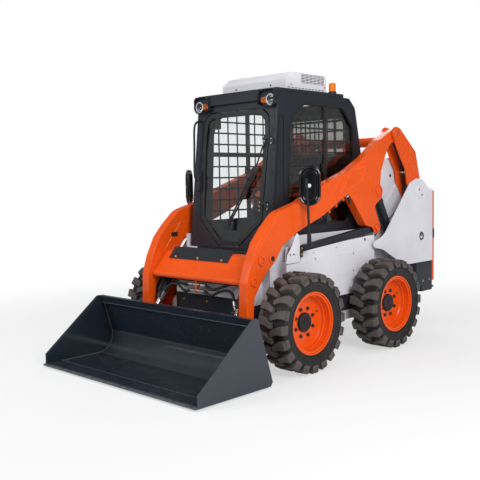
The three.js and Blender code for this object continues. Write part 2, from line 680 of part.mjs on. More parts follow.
const LIFT_SIZE = {
  eyeR: 38, eyeT: 40, boreR: LIFT_BORE_R, rodR: LIFT_ROD_R, pinR: LIFT_PIN_R,
  length: LIFT_BARREL_L, blind: 50, rodStart: 58,
};
const TILT_SIZE = {
  eyeR: 30, eyeT: 30, boreR: TILT_BORE_R, rodR: TILT_ROD_R, pinR: TILT_PIN_R,
  length: TILT_BARREL_L, blind: 42, rodStart: 98,
};
const tiltTurn = THREE.MathUtils.degToRad(TILT_ANGLE);
const TILT_EYE = [
  BUCKET_PIN[0] + TILT_ARM * Math.cos(tiltTurn),
  BUCKET_PIN[1] + TILT_ARM * Math.sin(tiltTurn),
];
addPair(chassis, 'lift_barrel', barrel(ARM_MID_X, LIFT_BASE, LIFT_EYE, LIFT_SIZE), CHARCOAL);
addPair(chassis, 'lift_rod', rod(ARM_MID_X, LIFT_BASE, LIFT_EYE, LIFT_SIZE), STEEL);
addPair(boom, 'tilt_barrel', barrel(TILT_X, TILT_BASE, TILT_EYE, TILT_SIZE), CHARCOAL);
addPair(boom, 'tilt_rod', rod(TILT_X, TILT_BASE, TILT_EYE, TILT_SIZE), STEEL);

// ---------- bucket and carrier ----------
const EDGE_Y = -1801;
const HEEL_Y = -1056;
const BACK_TOP = [-1200, 501];
const HEEL_R = 70;
const BACK_SLOPE = (BACK_TOP[0] - HEEL_Y) / BACK_TOP[1];
const BACK_SHIFT = BUCKET_T * Math.hypot(1, BACK_SLOPE);

function backY(z) {
  return HEEL_Y + BACK_SLOPE * z;
}

function bucket() {
  const [topY, topZ] = BACK_TOP;
  const bandH = 60;
  const sheet = sidePlate([
    [EDGE_Y, 0], [HEEL_Y, 0, HEEL_R], [topY, topZ], [topY - 45, topZ], [backY(topZ - bandH) - 36, topZ - bandH],
    [backY(topZ - bandH) - BACK_SHIFT, topZ - bandH], [backY(BUCKET_T) - BACK_SHIFT, BUCKET_T, HEEL_R - BUCKET_T],
    [EDGE_Y, BUCKET_T - 4],
  ], -BUCKET_HALF + 1, BUCKET_HALF - 1, 6);
  const edge = sidePlate([
    [EDGE_Y, 0], [EDGE_Y + 160, 0], [EDGE_Y + 160, 17], [EDGE_Y + 26, 17], [EDGE_Y, 5],
  ], -BUCKET_HALF + 1, BUCKET_HALF - 1);
  const cheek = sidePlate([
    [EDGE_Y + 26, 0], [HEEL_Y - 22, 0], [HEEL_Y - 2, 30], [topY, topZ], [topY - 62, topZ], [EDGE_Y + 26, 90],
  ], BUCKET_HALF - BUCKET_SIDE_T, BUCKET_HALF);
  return join(sheet, edge, cheek, mirrored(cheek));
}
const tool = new THREE.Group();
chassis.add(tool);
add(tool, 'bucket', bucket(), CHARCOAL);

function carrier() {
  const [pinY, pinZ] = BUCKET_PIN;
  const t = 16;
  const z0 = 75;
  const z1 = 430;
  const half = 640;
  const touch = FIT * Math.hypot(1, BACK_SLOPE);
  const face = (z) => backY(z) + touch;
  const plate = sidePlate([[face(z0), z0], [face(z0) + t, z0 + 4], [face(z1) + t, z1 + 4], [face(z1), z1]], -half, half);
  const pinLug = [
    [face(100) + 5, 100], [pinY + 10, pinZ - 42, 30], [pinY + 42, pinZ, 36], [pinY + 5, pinZ + 44, 30],
    [face(290) + 5, 290],
  ];
  const [eyeY, eyeZ] = TILT_EYE;
  const eyeLug = [
    [face(225) + 5, 225], [eyeY + 30, eyeZ - 34, 28], [eyeY + 28, eyeZ + 30, 28], [face(385) + 5, 385],
  ];
  const gap = TILT_SIZE.rodR + RUN;
  const lugs = [
    sidePlate(pinLug, ARM_IN_X - 8 - 15, ARM_IN_X - 8),
    sidePlate(pinLug, ARM_OUT_X + 8, ARM_OUT_X + 8 + 15),
    rodX(BUCKET_PIN, LIFT_PIN_R, ARM_IN_X - 22, ARM_OUT_X + 22),
    sidePlate(eyeLug, TILT_X - gap - 12, TILT_X - gap),
    sidePlate(eyeLug, TILT_X + gap, TILT_X + gap + 12),
    rodX(TILT_EYE, 26, TILT_X - gap - 18, TILT_X - gap - 11),
    rodX(TILT_EYE, 26, TILT_X + gap + 11, TILT_X + gap + 18),
  ];
  return join(plate, ...lugs, ...lugs.map(mirrored));
}
add(tool, 'bucket_carrier', carrier(), CHARCOAL);

// ---------- cab ----------
const cab = new THREE.Group();
chassis.add(cab);
const LEAN = Math.atan(FRONT_LEAN);
const DOOR_T = 28;
const DOOR_CLEAR = 6;
const DOOR_BAND = 34;

// Moves a piece drawn on an upright face (outer side y = 0, foot z = 0) onto the leaning cab front.
function onCabFront(geometry) {
  return geometry.rotateX(-LEAN).translate(0, cabFrontY(CAB_FLOOR_Z), CAB_FLOOR_Z);
}

function doorOutline(grow) {
  const wide = 386 + grow;
  const low = 22 - grow;
  const high = 1136 + grow;
  const side = [
    [118 + grow * 0.4, low, 12], [wide - 28, 232 - grow * 0.6, 30], [wide, 930, 300],
    [wide - 16, high - 60, 70], [wide - 90, high, 60],
  ];
  const other = side.map(([x, z, r]) => [-x, z, r]).reverse();
  return [...side, ...other];
}

const DOOR_HINGE_X = 404;
const DOOR_HINGE_Y = -16;
const DOOR_KNUCKLE_R = 10;
const DOOR_PIN_R = 5;
const DOOR_KNUCKLE_H = 30;
const CAB_SEAM_X = CAB_HALF - CAB_WALL;
const STRAP_X0 = 336;            // the strap's foot on the door leaf
const STRAP_X1 = 358;
const DOOR_HINGES = [330, 850];

function frameHinge(z) {
  const axis = [DOOR_HINGE_X, DOOR_HINGE_Y];
  return onCabFront(join(
    rodZ(axis, DOOR_KNUCKLE_R, z, z + DOOR_KNUCKLE_H),
    rodZ(axis, DOOR_PIN_R, z, z + 2 * DOOR_KNUCKLE_H + 1, 10),
    box(DOOR_HINGE_X, DOOR_HINGE_X + 46, DOOR_HINGE_Y - 6, -FIT, z, z + DOOR_KNUCKLE_H),
    box(CAB_SEAM_X + 3, DOOR_HINGE_X + 46, DOOR_HINGE_Y, 2, z, z + DOOR_KNUCKLE_H),
  ));
}

// The whole welded cab, which is then parted where its side, front and rear panels meet.
function cabShell() {
  const front = (z) => cabFrontY(z);
  const outline = [
    [front(CAB_FLOOR_Z), CAB_FLOOR_Z], [700, CAB_FLOOR_Z], [698, 1490], [672, 1690, 60],
    [588, 2070, 60], [500, CAB_TOP_Z, 40], [front(CAB_TOP_Z), CAB_TOP_Z],
  ];
  const w = CAB_WALL;
  const room = [
    [front(CAB_FLOOR_Z) + w, CAB_FLOOR_Z + 12], [700 - w, CAB_FLOOR_Z + 12], [698 - w, 1480], [672 - w, 1680, 60],
    [588 - w, 2060, 50], [560 - w, CAB_TOP_Z + 20], [front(CAB_TOP_Z) + w, CAB_TOP_Z + 20],
  ];
  const window = [
    [-345, 1075, 20], [-300, 1851], [-268, 1950, 30], [-120, 2066, 40], [400, 2066, 40],
    [552, 1900, 40], [572, 1560], [572, 1190, 30], [440, 1075, 30],
  ];
  return cut(
    sidePlate(outline, -CAB_HALF, CAB_HALF),
    sidePlate(room, -CAB_HALF + w, CAB_HALF - w),
    sidePlate(window, -CAB_HALF - 10, CAB_HALF + 10),
    onCabFront(crossPlate(doorOutline(DOOR_CLEAR), -40, 90)),
    box(-330, 330, 560, 760, 1660, 2030),
    box(-WELL_HALF, WELL_HALF, -540, WELL_REAR_Y, CAB_FLOOR_Z - 10, CAB_FLOOR_Z + 30),
  );
}
const cabWhole = cabShell();
const MID_HALF = CAB_SEAM_X - FIT;
const FLOOR_TOP_Z = CAB_FLOOR_Z + 12;
const REAR_WALL_IN_Y = 700 - CAB_WALL;
const HIGH_Z = CAB_TOP_Z + 5;
const LOW_Z = CAB_FLOOR_Z - 5;

function cabSide() {
  return common(cabWhole, box(CAB_SEAM_X, CAB_HALF + 5, -700, 760, LOW_Z, HIGH_Z));
}

function cabFrontFrame() {
  const behind = CAB_WALL - FIT;
  return common(cabWhole, sidePlate([
    [cabFrontY(LOW_Z) - 50, LOW_Z], [cabFrontY(LOW_Z) + behind, LOW_Z],
    [cabFrontY(HIGH_Z) + behind, HIGH_Z], [cabFrontY(HIGH_Z) - 50, HIGH_Z],
  ], -MID_HALF, MID_HALF));
}

function cabRearPanel() {
  return common(cabWhole, sidePlate([
    [REAR_WALL_IN_Y + FIT, LOW_Z], [REAR_WALL_IN_Y + FIT, FLOOR_TOP_Z + 5], [300, FLOOR_TOP_Z + 5],
    [300, HIGH_Z], [760, HIGH_Z], [760, LOW_Z],
  ], -MID_HALF, MID_HALF));
}

function cabFloor() {
  const front = cabFrontY(FLOOR_TOP_Z) + CAB_WALL + FIT;
  return cut(
    box(-MID_HALF, MID_HALF, front, REAR_WALL_IN_Y, CAB_FLOOR_Z, FLOOR_TOP_Z),
    box(-WELL_HALF, WELL_HALF, -540, WELL_REAR_Y, LOW_Z, FLOOR_TOP_Z + 5),
  );
}
add(cab, 'cab_side_left', join(cabSide(), ...DOOR_HINGES.map(frameHinge)), CHARCOAL);
add(cab, 'cab_side_right', mirrored(cabSide()), CHARCOAL);
add(cab, 'cab_front_frame', cabFrontFrame(), CHARCOAL);
add(cab, 'cab_rear_panel', cabRearPanel(), CHARCOAL);

function windowPane() {
  return sidePlate([
    [-345 + FIT, 1075 + FIT, 20], [-300 + FIT, 1851], [-268 + FIT, 1950 - FIT, 30], [-120, 2066 - FIT, 40],
    [400 - FIT, 2066 - FIT, 40], [552 - FIT, 1900 - FIT, 40], [572 - FIT, 1560], [572 - FIT, 1190, 30],
    [440, 1075 + FIT, 30],
  ], CAB_HALF - 24, CAB_HALF - 24 + GLASS_T);
}
addPair(cab, 'side_window', windowPane(), GLASS);
add(cab, 'rear_window', box(-330 + FIT, 330 - FIT, 640, 640 + GLASS_T, 1660 + FIT, 1990), GLASS);

function doorLeaf() {
  const axis = [DOOR_HINGE_X, DOOR_HINGE_Y];
  const z0 = DOOR_KNUCKLE_H + 1;
  const straps = DOOR_HINGES.map((z) => join(
    rodZ(axis, DOOR_KNUCKLE_R, z + z0, z + z0 + DOOR_KNUCKLE_H),
    box(STRAP_X0, DOOR_HINGE_X, DOOR_HINGE_Y - 6, DOOR_HINGE_Y + 6, z + z0, z + z0 + DOOR_KNUCKLE_H),
    box(STRAP_X0, STRAP_X1, DOOR_HINGE_Y, 2, z + z0, z + z0 + DOOR_KNUCKLE_H),
  ));
  const leaf = cut(
    crossPlate(doorOutline(0), 0, DOOR_T),
    crossPlate(doorOutline(-DOOR_BAND), -5, DOOR_T + 5),
  );
  const bores = DOOR_HINGES.map((z) => rodZ(axis, DOOR_PIN_R + PIN_FIT, z, z + 3 * DOOR_KNUCKLE_H, 10));
  return onCabFront(cut(join(leaf, ...straps), ...bores));
}
add(cab, 'cab_door', doorLeaf(), BLACK);
add(cab, 'door_glass', onCabFront(crossPlate(doorOutline(-DOOR_BAND - FIT), 11, 11 + GLASS_T)), GLASS);

function cabRoof() {
  const front = (z) => cabFrontY(z) - FIT * 2;
  return join(
    flatPlate([
      [-CAB_HALF + 8, front(ROOF_Z) - 10], [CAB_HALF - 8, front(ROOF_Z) - 10], [CAB_HALF - 8, 470, 60],
      [-CAB_HALF + 8, 470, 60],
    ], CAB_TOP_Z + FIT, ROOF_Z),
    sidePlate([
      [front(2088), 2088], [front(ROOF_Z), ROOF_Z], [front(ROOF_Z) - 22, ROOF_Z - 2], [front(2088) - 34, 2088],
    ], -CAB_HALF + 12, CAB_HALF - 12),
  );
}
add(cab, 'cab_roof', cabRoof(), CHARCOAL);

function acUnit() {
  const z0 = ROOF_Z + FIT;
  return sidePlate([
    [-235, z0], [300, z0], [296, z0 + 150, 20], [-150, z0 + 158, 30], [-235, z0 + 95, 20],
  ], -368, 368);
}
add(cab, 'ac_unit', acUnit(), WHITE);

function headlamp() {
  const y = cabFrontY(2088) - 34 - 2 * FIT;
  return join(
    rodY([409, 2062], 40, y - 30, y - FIT, 28),
    box(375, 443, y - 20, y - FIT, 2070, 2130),
  );
}
addPair(cab, 'headlamp', headlamp(), LAMP);

const BEACON_AT = [390, 352];
add(cab, 'beacon', join(
  rodZ(BEACON_AT, 36, ROOF_Z + FIT, ROOF_Z + 22),
  rodZ(BEACON_AT, 30, ROOF_Z + 21, ROOF_Z + 100),
), AMBER);

function mirror() {
  const y = -352;
  const x = 735;
  const panelFace = PANEL_X + PANEL_T / 2 + FIT;
  const head = new THREE.SphereGeometry(1, 16, 8);
  head.scale(98, 17, 155).translate(x, y, 1402);
  return join(
    box(panelFace, 672, y - 22, y + 22, 826, 842),
    rodZ([655, y], 9, 834, 1120, 12),
    tube([[655, y, 1118], [657, y, 1150], [690, y, 1190], [725, y, 1225], [735, y, 1262]], 9, 36, 6),
    head,
  );
}
addPair(chassis, 'mirror', mirror(), BLACK);

// ---------- operator's place ----------
function seatBase() {
  const z0 = FLOOR_TOP_Z - 1;
  const stand = box(-210, 210, -60, 400, z0, 1020);
  const backing = box(-225, 225, 440, 462, z0, 1560);
  const shelf = box(-225, 225, 399, 461, z0, 960);
  const consoles = [-1, 1].flatMap((s) => [
    box(s > 0 ? 208 : -330, s > 0 ? 330 : -208, 20, 400, z0, 1010),
    box(s > 0 ? 250 : -330, s > 0 ? 330 : -250, 20, 400, 1009, 1180),
    rodZ([s * 290, 80], 11, 1179, 1300, 12),
    rodZ([s * 290, 80], 22, 1290, 1370, 16),
  ]);
  return join(cabFloor(), stand, backing, shelf, ...consoles);
}
add(cab, 'operator_station', seatBase(), BLACK);
add(cab, 'seat_cushion', flatPlate([
  [-205, -80, 50], [205, -80, 50], [205, 330, 30], [-205, 330, 30],
], 1020 + FIT, 1120), VINYL);
add(cab, 'seat_back', crossPlate([
  [-205, 1130, 30], [205, 1130, 30], [190, 1570, 60], [-190, 1570, 60],
], 345, 440 - FIT), VINYL);

// ---------- origin ----------
const FRONT_END_Y = EDGE_Y;
const REAR_END_Y = 1667;
machine.position.y = -(FRONT_END_Y + REAR_END_Y) / 2;

export default machine;
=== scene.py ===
"""Finished look of a compact skid steer loader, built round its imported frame.

Everything is in metres in the row frame: +Z up, +Y to the rear, +X to the operator's left.
"""

import logging
import math
from dataclasses import dataclass, field
from enum import Enum
from typing import Iterable, Optional, Sequence

import bmesh
import bpy
from mathutils import Matrix, Vector, noise


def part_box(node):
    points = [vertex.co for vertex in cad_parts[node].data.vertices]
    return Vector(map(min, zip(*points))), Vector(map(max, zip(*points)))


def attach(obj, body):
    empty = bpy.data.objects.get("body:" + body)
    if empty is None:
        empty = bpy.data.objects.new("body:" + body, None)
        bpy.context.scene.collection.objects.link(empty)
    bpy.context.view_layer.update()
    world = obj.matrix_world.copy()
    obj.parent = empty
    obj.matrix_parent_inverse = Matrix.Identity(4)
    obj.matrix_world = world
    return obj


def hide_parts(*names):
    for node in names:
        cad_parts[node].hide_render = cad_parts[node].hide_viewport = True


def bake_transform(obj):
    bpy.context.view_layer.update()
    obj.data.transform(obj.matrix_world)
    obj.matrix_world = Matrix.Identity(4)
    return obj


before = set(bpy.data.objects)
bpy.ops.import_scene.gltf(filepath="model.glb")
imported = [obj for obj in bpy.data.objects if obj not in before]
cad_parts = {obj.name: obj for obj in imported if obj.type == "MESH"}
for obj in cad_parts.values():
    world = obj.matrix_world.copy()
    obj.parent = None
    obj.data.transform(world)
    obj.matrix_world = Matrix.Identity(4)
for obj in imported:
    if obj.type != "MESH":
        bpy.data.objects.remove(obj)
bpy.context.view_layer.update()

LOG = logging.getLogger("loader")
DATUM = Vector((0.0, 0.067, 0.012))  # the chassis datum, in the row frame
CAB_FLOOR_Z = 0.8953
CAB_FRONT_Y = -0.445  # the cab front's outer face at CAB_TOP_Z
CAB_TOP_Z = 2.1
LEAN_SLOPE = 0.108
LEAN = math.atan(LEAN_SLOPE)  # how far the cab front leans back
SHARPEST_MITRE = 0.3  # limits how far a grown outline's corner may run out
FRONT_AXLE_Y = -0.503
REAR_AXLE_Y = 0.637
TOWER_PIN = (1.345, 1.309)  # pins are [y, z] places from the chassis datum
BUCKET_PIN = (-1.035, 0.172)
LIFT_BASE = (1.083, 0.715)
LIFT_EYE = (0.724, 1.334)
LINK_PIN = (0.698, 1.01)
TILT_BASE = (-0.69, 0.85)
TILT_EYE = (-1.0472, 0.31147)
STUB_PIN = (-0.713, 0.857)
ARM_INNER_X = 0.528
LEFT = (1, 0, 0)
FORWARD = (0, -1, 0)
REARWARD = (0, 1, 0)
UP = (0, 0, 1)
ORIGIN = (0, 0, 0)
Socket = bpy.types.NodeSocket
Solid = bmesh.types.BMesh
Point = Sequence[float]
Outline = Sequence[Sequence[float]]


class Side(Enum):
    """A side of the machine, as the sign of X."""

    LEFT = 1
    RIGHT = -1

    @property
    def word(self) -> str:
        """Returns the side's name as node names end."""
        return self.name.lower()


def at(x: float, y: float, z: float) -> Vector:
    """Returns a point given from the chassis datum in the row frame."""
    return Vector((x, y, z)) + DATUM


def seen(points: Outline) -> list[tuple[float, ...]]:
    """Returns a side outline moved from the chassis datum to the row frame."""
    return [(p[0] + DATUM.y, p[1] + DATUM.z, *p[2:]) for p in points]


def cab_front(x: float, out: float, up: float) -> Vector:
    """Returns a point on the leaning cab front.

    Args:
        x: distance to the left of the middle.
        out: distance behind the outer face.
        up: distance up the face from the cab floor.
    """
    y = out * math.cos(LEAN) + up * math.sin(LEAN)
    z = -out * math.sin(LEAN) + up * math.cos(LEAN)
    front_y = CAB_FRONT_Y - (CAB_TOP_Z - CAB_FLOOR_Z) * LEAN_SLOPE
    return at(x, front_y + y, CAB_FLOOR_Z + z)


def smooth_path(points: Sequence[Point], steps: int = 6) -> list[Vector]:
    """Returns a Catmull-Rom curve through the points, with steps pieces between each two.

    Args:
        points: what the curve runs through.
        steps: pieces between each two points.
    """
    p = [Vector(q) for q in points]
    p = [p[0] * 2 - p[1], *p, p[-1] * 2 - p[-2]]
    out = []
    for i in range(1, len(p) - 2):
        for k in range(steps):
            t = k / steps
            a = 2 * p[i]
            b = p[i + 1] - p[i - 1]
            c = 2 * p[i - 1] - 5 * p[i] + 4 * p[i + 1] - p[i + 2]
            d = 3 * p[i] - p[i - 1] - 3 * p[i + 1] + p[i + 2]
            out.append((a + b * t + c * t * t + d * t**3) / 2)
    return [*out, p[-2]]


def rounded(points: Outline, steps: int = 5) -> list[tuple[float, float]]:
    """Returns an outline whose [u, v, r] corners are rounded by arcs of radius r.

    Args:
        points: corners, with a radius or without.
        steps: pieces in each arc.
    """
    out = []
    n = len(points)
    for i, corner in enumerate(points):
        here = Vector(corner[:2])
        radius = corner[2] if len(corner) > 2 else 0.0
        before = Vector(points[i - 1][:2]) - here
        after = Vector(points[(i + 1) % n][:2]) - here
        if radius <= 0:
            out.append(tuple(here))
            continue
        a, b = before.normalized(), after.normalized()
        turn = a.angle(b)
        reach = min(radius / math.tan(turn / 2), 0.49 * min(before.length, after.length))
        for k in range(steps + 1):
            t = k / steps
            start, end = here + a * reach, here + b * reach
            out.append(tuple(start * (1 - t) ** 2 + here * 2 * t * (1 - t) + end * t * t))
    return out


def rectangle(u0: float, u1: float, v0: float, v1: float, radius: float) -> list[tuple[float, float]]:
    """Returns a rounded rectangle between two opposite corners.

    Args:
        u0: one end along the first axis.
        u1: the other end.
        v0: one end along the second axis.
        v1: the other end.
        radius: radius of its corners.
    """
    return rounded([(u0, v0, radius), (u1, v0, radius), (u1, v1, radius), (u0, v1, radius)])


def grown(points: Outline, by: float) -> list[tuple[float, float, float]]:
    """Returns an outline moved outwards by a distance, with its corner radii kept.

    Args:
        points: corners, with a radius or without.
        by: the distance, below zero to shrink it.
    """
    n = len(points)
    area = sum(points[i - 1][0] * points[i][1] - points[i][0] * points[i - 1][1] for i in range(n))
    turn = 1 if area > 0 else -1
    out = []
    for i, corner in enumerate(points):
        here = Vector(corner[:2])
        a = (here - Vector(points[i - 1][:2])).normalized()
        b = (Vector(points[(i + 1) % n][:2]) - here).normalized()
        na, nb = Vector((a.y, -a.x)) * turn, Vector((b.y, -b.x)) * turn
        mitre = (na + nb).normalized()
        moved = here + mitre * by / max(SHARPEST_MITRE, mitre.dot(na))
        out.append((moved.x, moved.y, corner[2] if len(corner) > 2 else 0.0))
    return out


# ---------------------------------------------------------------- finishes


class Tree:
    """Writes the node tree of one material."""

    def __init__(self, name: str) -> None:
        """Starts an empty material with a Principled shader."""
        self.material = bpy.data.materials.new(name)
        self.material.use_nodes = True
        self.nodes = self.material.node_tree.nodes
        self.links = self.material.node_tree.links
        self.nodes.clear()
        self.out = self.nodes.new("ShaderNodeOutputMaterial")
        self.shader = self.nodes.new("ShaderNodeBsdfPrincipled")
        self.links.new(self.shader.outputs[0], self.out.inputs[0])
        self.place = self.nodes.new("ShaderNodeTexCoord").outputs["Object"]

    def set(self, **values: object) -> None:
        """Sets inputs of the shader, with _ for a space in their names."""
        for key, value in values.items():
            socket = self.shader.inputs[key.replace("_", " ")]
            if isinstance(value, Socket):
                self.links.new(value, socket)
            else:
                socket.default_value = value

    def stretched(self, scale: Point) -> Socket:
        """Returns the place scaled along each axis."""
        node = self.nodes.new("ShaderNodeMapping")
        node.inputs["Scale"].default_value = scale
        self.links.new(self.place, node.inputs["Vector"])
        return node.outputs[0]

    def noise(self, scale: float, detail: float = 4.0, rough: float = 0.55,
              place: Optional[Socket] = None) -> Socket:
        """Returns the factor of a noise of that scale.

        Args:
            scale: cells in a metre.
            detail: octaves.
            rough: how strong the finer octaves are.
            place: where the pattern is read, the piece's own place by default.
        """
        node = self.nodes.new("ShaderNodeTexNoise")
        node.inputs["Scale"].default_value = scale
        node.inputs["Detail"].default_value = detail
        node.inputs["Roughness"].default_value = rough
        self.links.new(place or self.place, node.inputs["Vector"])
        return node.outputs["Fac"]

    def cells(self, scale: float) -> Socket:
        """Returns the distance of a Voronoi pattern, used for grain."""
        node = self.nodes.new("ShaderNodeTexVoronoi")
        node.inputs["Scale"].default_value = scale
        self.links.new(self.place, node.inputs["Vector"])
        return node.outputs["Distance"]

    def ramp(self, factor: Socket, low: float, high: float,
             a: float = 0.0, b: float = 1.0) -> Socket:
        """Returns factor mapped from low..high to a..b and held inside it.

        Args:
            factor: what is mapped.
            low: where it starts.
            high: where it ends.
            a: result at the start.
            b: result at the end.
        """
        node = self.nodes.new("ShaderNodeMapRange")
        for key, value in zip(("From Min", "From Max", "To Min", "To Max"), (low, high, a, b)):
            node.inputs[key].default_value = value
        self.links.new(factor, node.inputs["Value"])
        return node.outputs[0]

    def times(self, a: Socket, b: object) -> Socket:
        """Returns the product of two values.

        Args:
            a: the first value.
            b: a socket or a number.
        """
        node = self.nodes.new("ShaderNodeMath")
        node.operation = "MULTIPLY"
        self.links.new(a, node.inputs[0])
        if isinstance(b, Socket):
            self.links.new(b, node.inputs[1])
        else:
            node.inputs[1].default_value = b
        return node.outputs[0]

    def mix(self, factor: Socket, a: object, b: object) -> Socket:
        """Returns colour a turned into colour b by a factor.

        Args:
            factor: 0 for a and 1 for b.
            a: a colour or a socket.
            b: a colour or a socket.
        """
        node = self.nodes.new("ShaderNodeMix")
        node.data_type = "RGBA"
        self.links.new(factor, node.inputs[0])
        for socket, value in ((node.inputs[6], a), (node.inputs[7], b)):
            if isinstance(value, Socket):
                self.links.new(value, socket)
            else:
                socket.default_value = (*value[:3], 1.0)
        return node.outputs[2]

    def edges(self, low: float = 0.52, high: float = 0.6) -> Socket:
        """Returns 1 on convex edges and 0 on flats."""
        node = self.nodes.new("ShaderNodeNewGeometry")
        return self.ramp(node.outputs["Pointiness"], low, high)

    def upward(self) -> Socket:
        """Returns how much a surface faces up, from 0 to 1."""
        node = self.nodes.new("ShaderNodeSeparateXYZ")
        self.links.new(self.nodes.new("ShaderNodeNewGeometry").outputs["Normal"], node.inputs[0])
        return self.ramp(node.outputs["Z"], 0.2, 1.0)

    def axis(self, name: str) -> Socket:
        """Returns one coordinate of the place."""
        node = self.nodes.new("ShaderNodeSeparateXYZ")
        self.links.new(self.place, node.inputs[0])
        return node.outputs[name]

    def bump(self, height: Socket, strength: float, distance: float) -> None:
        """Adds a bump to the shader's normal, over any bump that it has.

        Args:
            height: the relief.
            strength: share of it that shows.
            distance: its depth in metres.
        """
        node = self.nodes.new("ShaderNodeBump")
        node.inputs["Strength"].default_value = strength
        node.inputs["Distance"].default_value = distance
        self.links.new(height, node.inputs["Height"])
        socket = self.shader.inputs["Normal"]
        if socket.links:
            self.links.new(socket.links[0].from_socket, node.inputs["Normal"])
        self.links.new(node.outputs[0], socket)


@dataclass(frozen=True)
class Finish:
    """A finish, made into a material once."""

    name: str
    colour: tuple[float, float, float]
    slot: str
    rough: float = 0.4

    def build(self) -> bpy.types.Material:
        """Returns the material, made the first time it is asked for."""
        found = bpy.data.materials.get(self.name)
        return found or self.make()

    def make(self) -> bpy.types.Material:
        """Makes the material."""
        raise NotImplementedError


@dataclass(frozen=True)
class Paint(Finish):
    """Sprayed paint with orange peel, a little dust and lighter edges, partly rubbed wear and partly a
    painted highlight.
    """

    dust: float = 0.1
    # how much convex edges are painted lighter: rubbed wear plus a painted highlight
    wear_and_highlight: float = 0.25
    coat: float = 0.35
    bare_before: Optional[float] = None  # steel shows ahead of this Y

    def make(self) -> bpy.types.Material:
        """Makes the paint's material."""
        t = Tree(self.name)
        deep = tuple(c * 0.88 for c in self.colour)
        # lighter colour for the edges: rubbed paint and a painted highlight
        lightened = tuple(min(1.0, c * 1.25 + 0.035) for c in self.colour)
        colour = t.mix(t.ramp(t.noise(2.6, 3), 0.35, 0.7), self.colour, deep)
        speckle = t.ramp(t.noise(38, 6, 0.7), 0.5, 0.78)
        dusty = t.times(t.times(speckle, t.ramp(t.noise(3.1, 2), 0.35, 0.75)), self.dust)
        colour = t.mix(dusty, colour, (0.3, 0.25, 0.2))
        settled = t.times(t.times(t.upward(), t.ramp(t.noise(9, 5), 0.4, 0.8)), self.dust * 1.2)
        colour = t.mix(settled, colour, (0.36, 0.31, 0.26))
        # convex edges painted lighter, as rubbed wear and as a painted highlight
        colour = t.mix(t.times(t.edges(), self.wear_and_highlight), colour, lightened)
        if self.bare_before is not None:
            y = self.bare_before
            near = t.ramp(t.axis("Y"), y, y - 0.035)
            bare = t.times(near, t.ramp(t.noise(26, 5, 0.7), 0.35, 0.6))
            colour = t.mix(t.times(bare, 0.65), colour, (0.26, 0.26, 0.28))
            t.set(Metallic=t.times(bare, 0.5))
        t.set(Base_Color=colour, Roughness=t.ramp(t.noise(14, 5), 0.3, 0.75, self.rough - 0.05,
                    self.rough + 0.12))
        t.set(Coat_Weight=self.coat, Coat_Roughness=0.12, IOR=1.46, Specular_IOR_Level=0.28)
        t.bump(t.noise(420, 2), 0.05, 0.0006)
        t.bump(t.noise(6, 2), 0.06, 0.002)
        return t.material


@dataclass(frozen=True)
class Rubber(Finish):
    """Moulded rubber, with patches of brown dust and scuffed edges."""

    dirt: tuple[float, float, float] = (0.115, 0.082, 0.06)
    dust: float = 0.75

    def make(self) -> bpy.types.Material:
        """Makes the rubber's material."""
        t = Tree(self.name)
        patches = t.ramp(t.noise(7, 6, 0.65), 0.38, 0.72)
        fine = t.ramp(t.noise(60, 5, 0.7), 0.3, 0.75, 0.35, 1.0)
        colour = t.mix(t.times(t.times(patches, fine), self.dust), self.colour, self.dirt)
        scuffed = tuple(c * 2.2 + 0.012 for c in self.colour)
        colour = t.mix(t.times(t.edges(0.53, 0.62), 0.5), colour, scuffed)
        t.set(Base_Color=colour, Roughness=t.ramp(t.noise(22, 5), 0.3, 0.7, self.rough - 0.12,
                    self.rough + 0.08))
        t.set(Specular_IOR_Level=0.4)
        t.bump(t.noise(170, 4, 0.7), 0.35, 0.0012)
        t.bump(t.noise(24, 4), 0.25, 0.002)
        return t.material


@dataclass(frozen=True)
class Metal(Finish):
    """Bare or plated metal with fine scratches."""

    scratch: float = 0.12
    grain: tuple[float, float, float] = (60.0, 60.0, 6.0)

    def make(self) -> bpy.types.Material:
        """Makes the metal's material."""
        t = Tree(self.name)
        lines = t.noise(9, 6, 0.7, t.stretched(self.grain))
        dull = tuple(c * 0.72 for c in self.colour)
        t.set(Base_Color=t.mix(t.ramp(t.noise(30, 4), 0.4, 0.8), self.colour, dull), Metallic=1.0)
        t.set(Roughness=t.ramp(lines, 0.3, 0.7, self.rough, self.rough + 0.16))
        t.bump(lines, self.scratch, 0.0005)
        return t.material


@dataclass(frozen=True)
class Plastic(Finish):
    """Moulded plastic or powder coat with a fine leathery grain."""

    grain: float = 900.0
    depth: float = 0.18

    def make(self) -> bpy.types.Material:
        """Makes the plastic's material."""
        t = Tree(self.name)
        pale = tuple(c * 1.5 + 0.006 for c in self.colour)
        colour = t.mix(t.ramp(t.noise(11, 5), 0.42, 0.8), self.colour, pale)
        colour = t.mix(t.times(t.edges(), 0.35), colour, tuple(c * 2 + 0.03 for c in self.colour))
        t.set(Base_Color=colour, Roughness=t.ramp(t.noise(18, 4), 0.3, 0.75, self.rough - 0.06,
                    self.rough + 0.1))
        t.set(Specular_IOR_Level=0.35)
        t.bump(t.cells(self.grain), self.depth, 0.0005)
        return t.material


@dataclass(frozen=True)
class Vinyl(Finish):
    """Seat vinyl with a hide grain and soft creases."""

    def make(self) -> bpy.types.Material:
        """Makes the vinyl's material."""
        t = Tree(self.name)
        lightened = tuple(c * 1.9 + 0.01 for c in self.colour)
        colour = t.mix(t.ramp(t.noise(8, 5), 0.4, 0.75), self.colour, lightened)
        t.set(Base_Color=colour, Roughness=t.ramp(t.noise(16, 4), 0.3, 0.7, self.rough - 0.1,
                    self.rough + 0.08))
        t.set(Sheen_Weight=0.15, Sheen_Roughness=0.4)
        t.bump(t.cells(520), 0.4, 0.0008)
        t.bump(t.noise(26, 5), 0.25, 0.003)
        return t.material


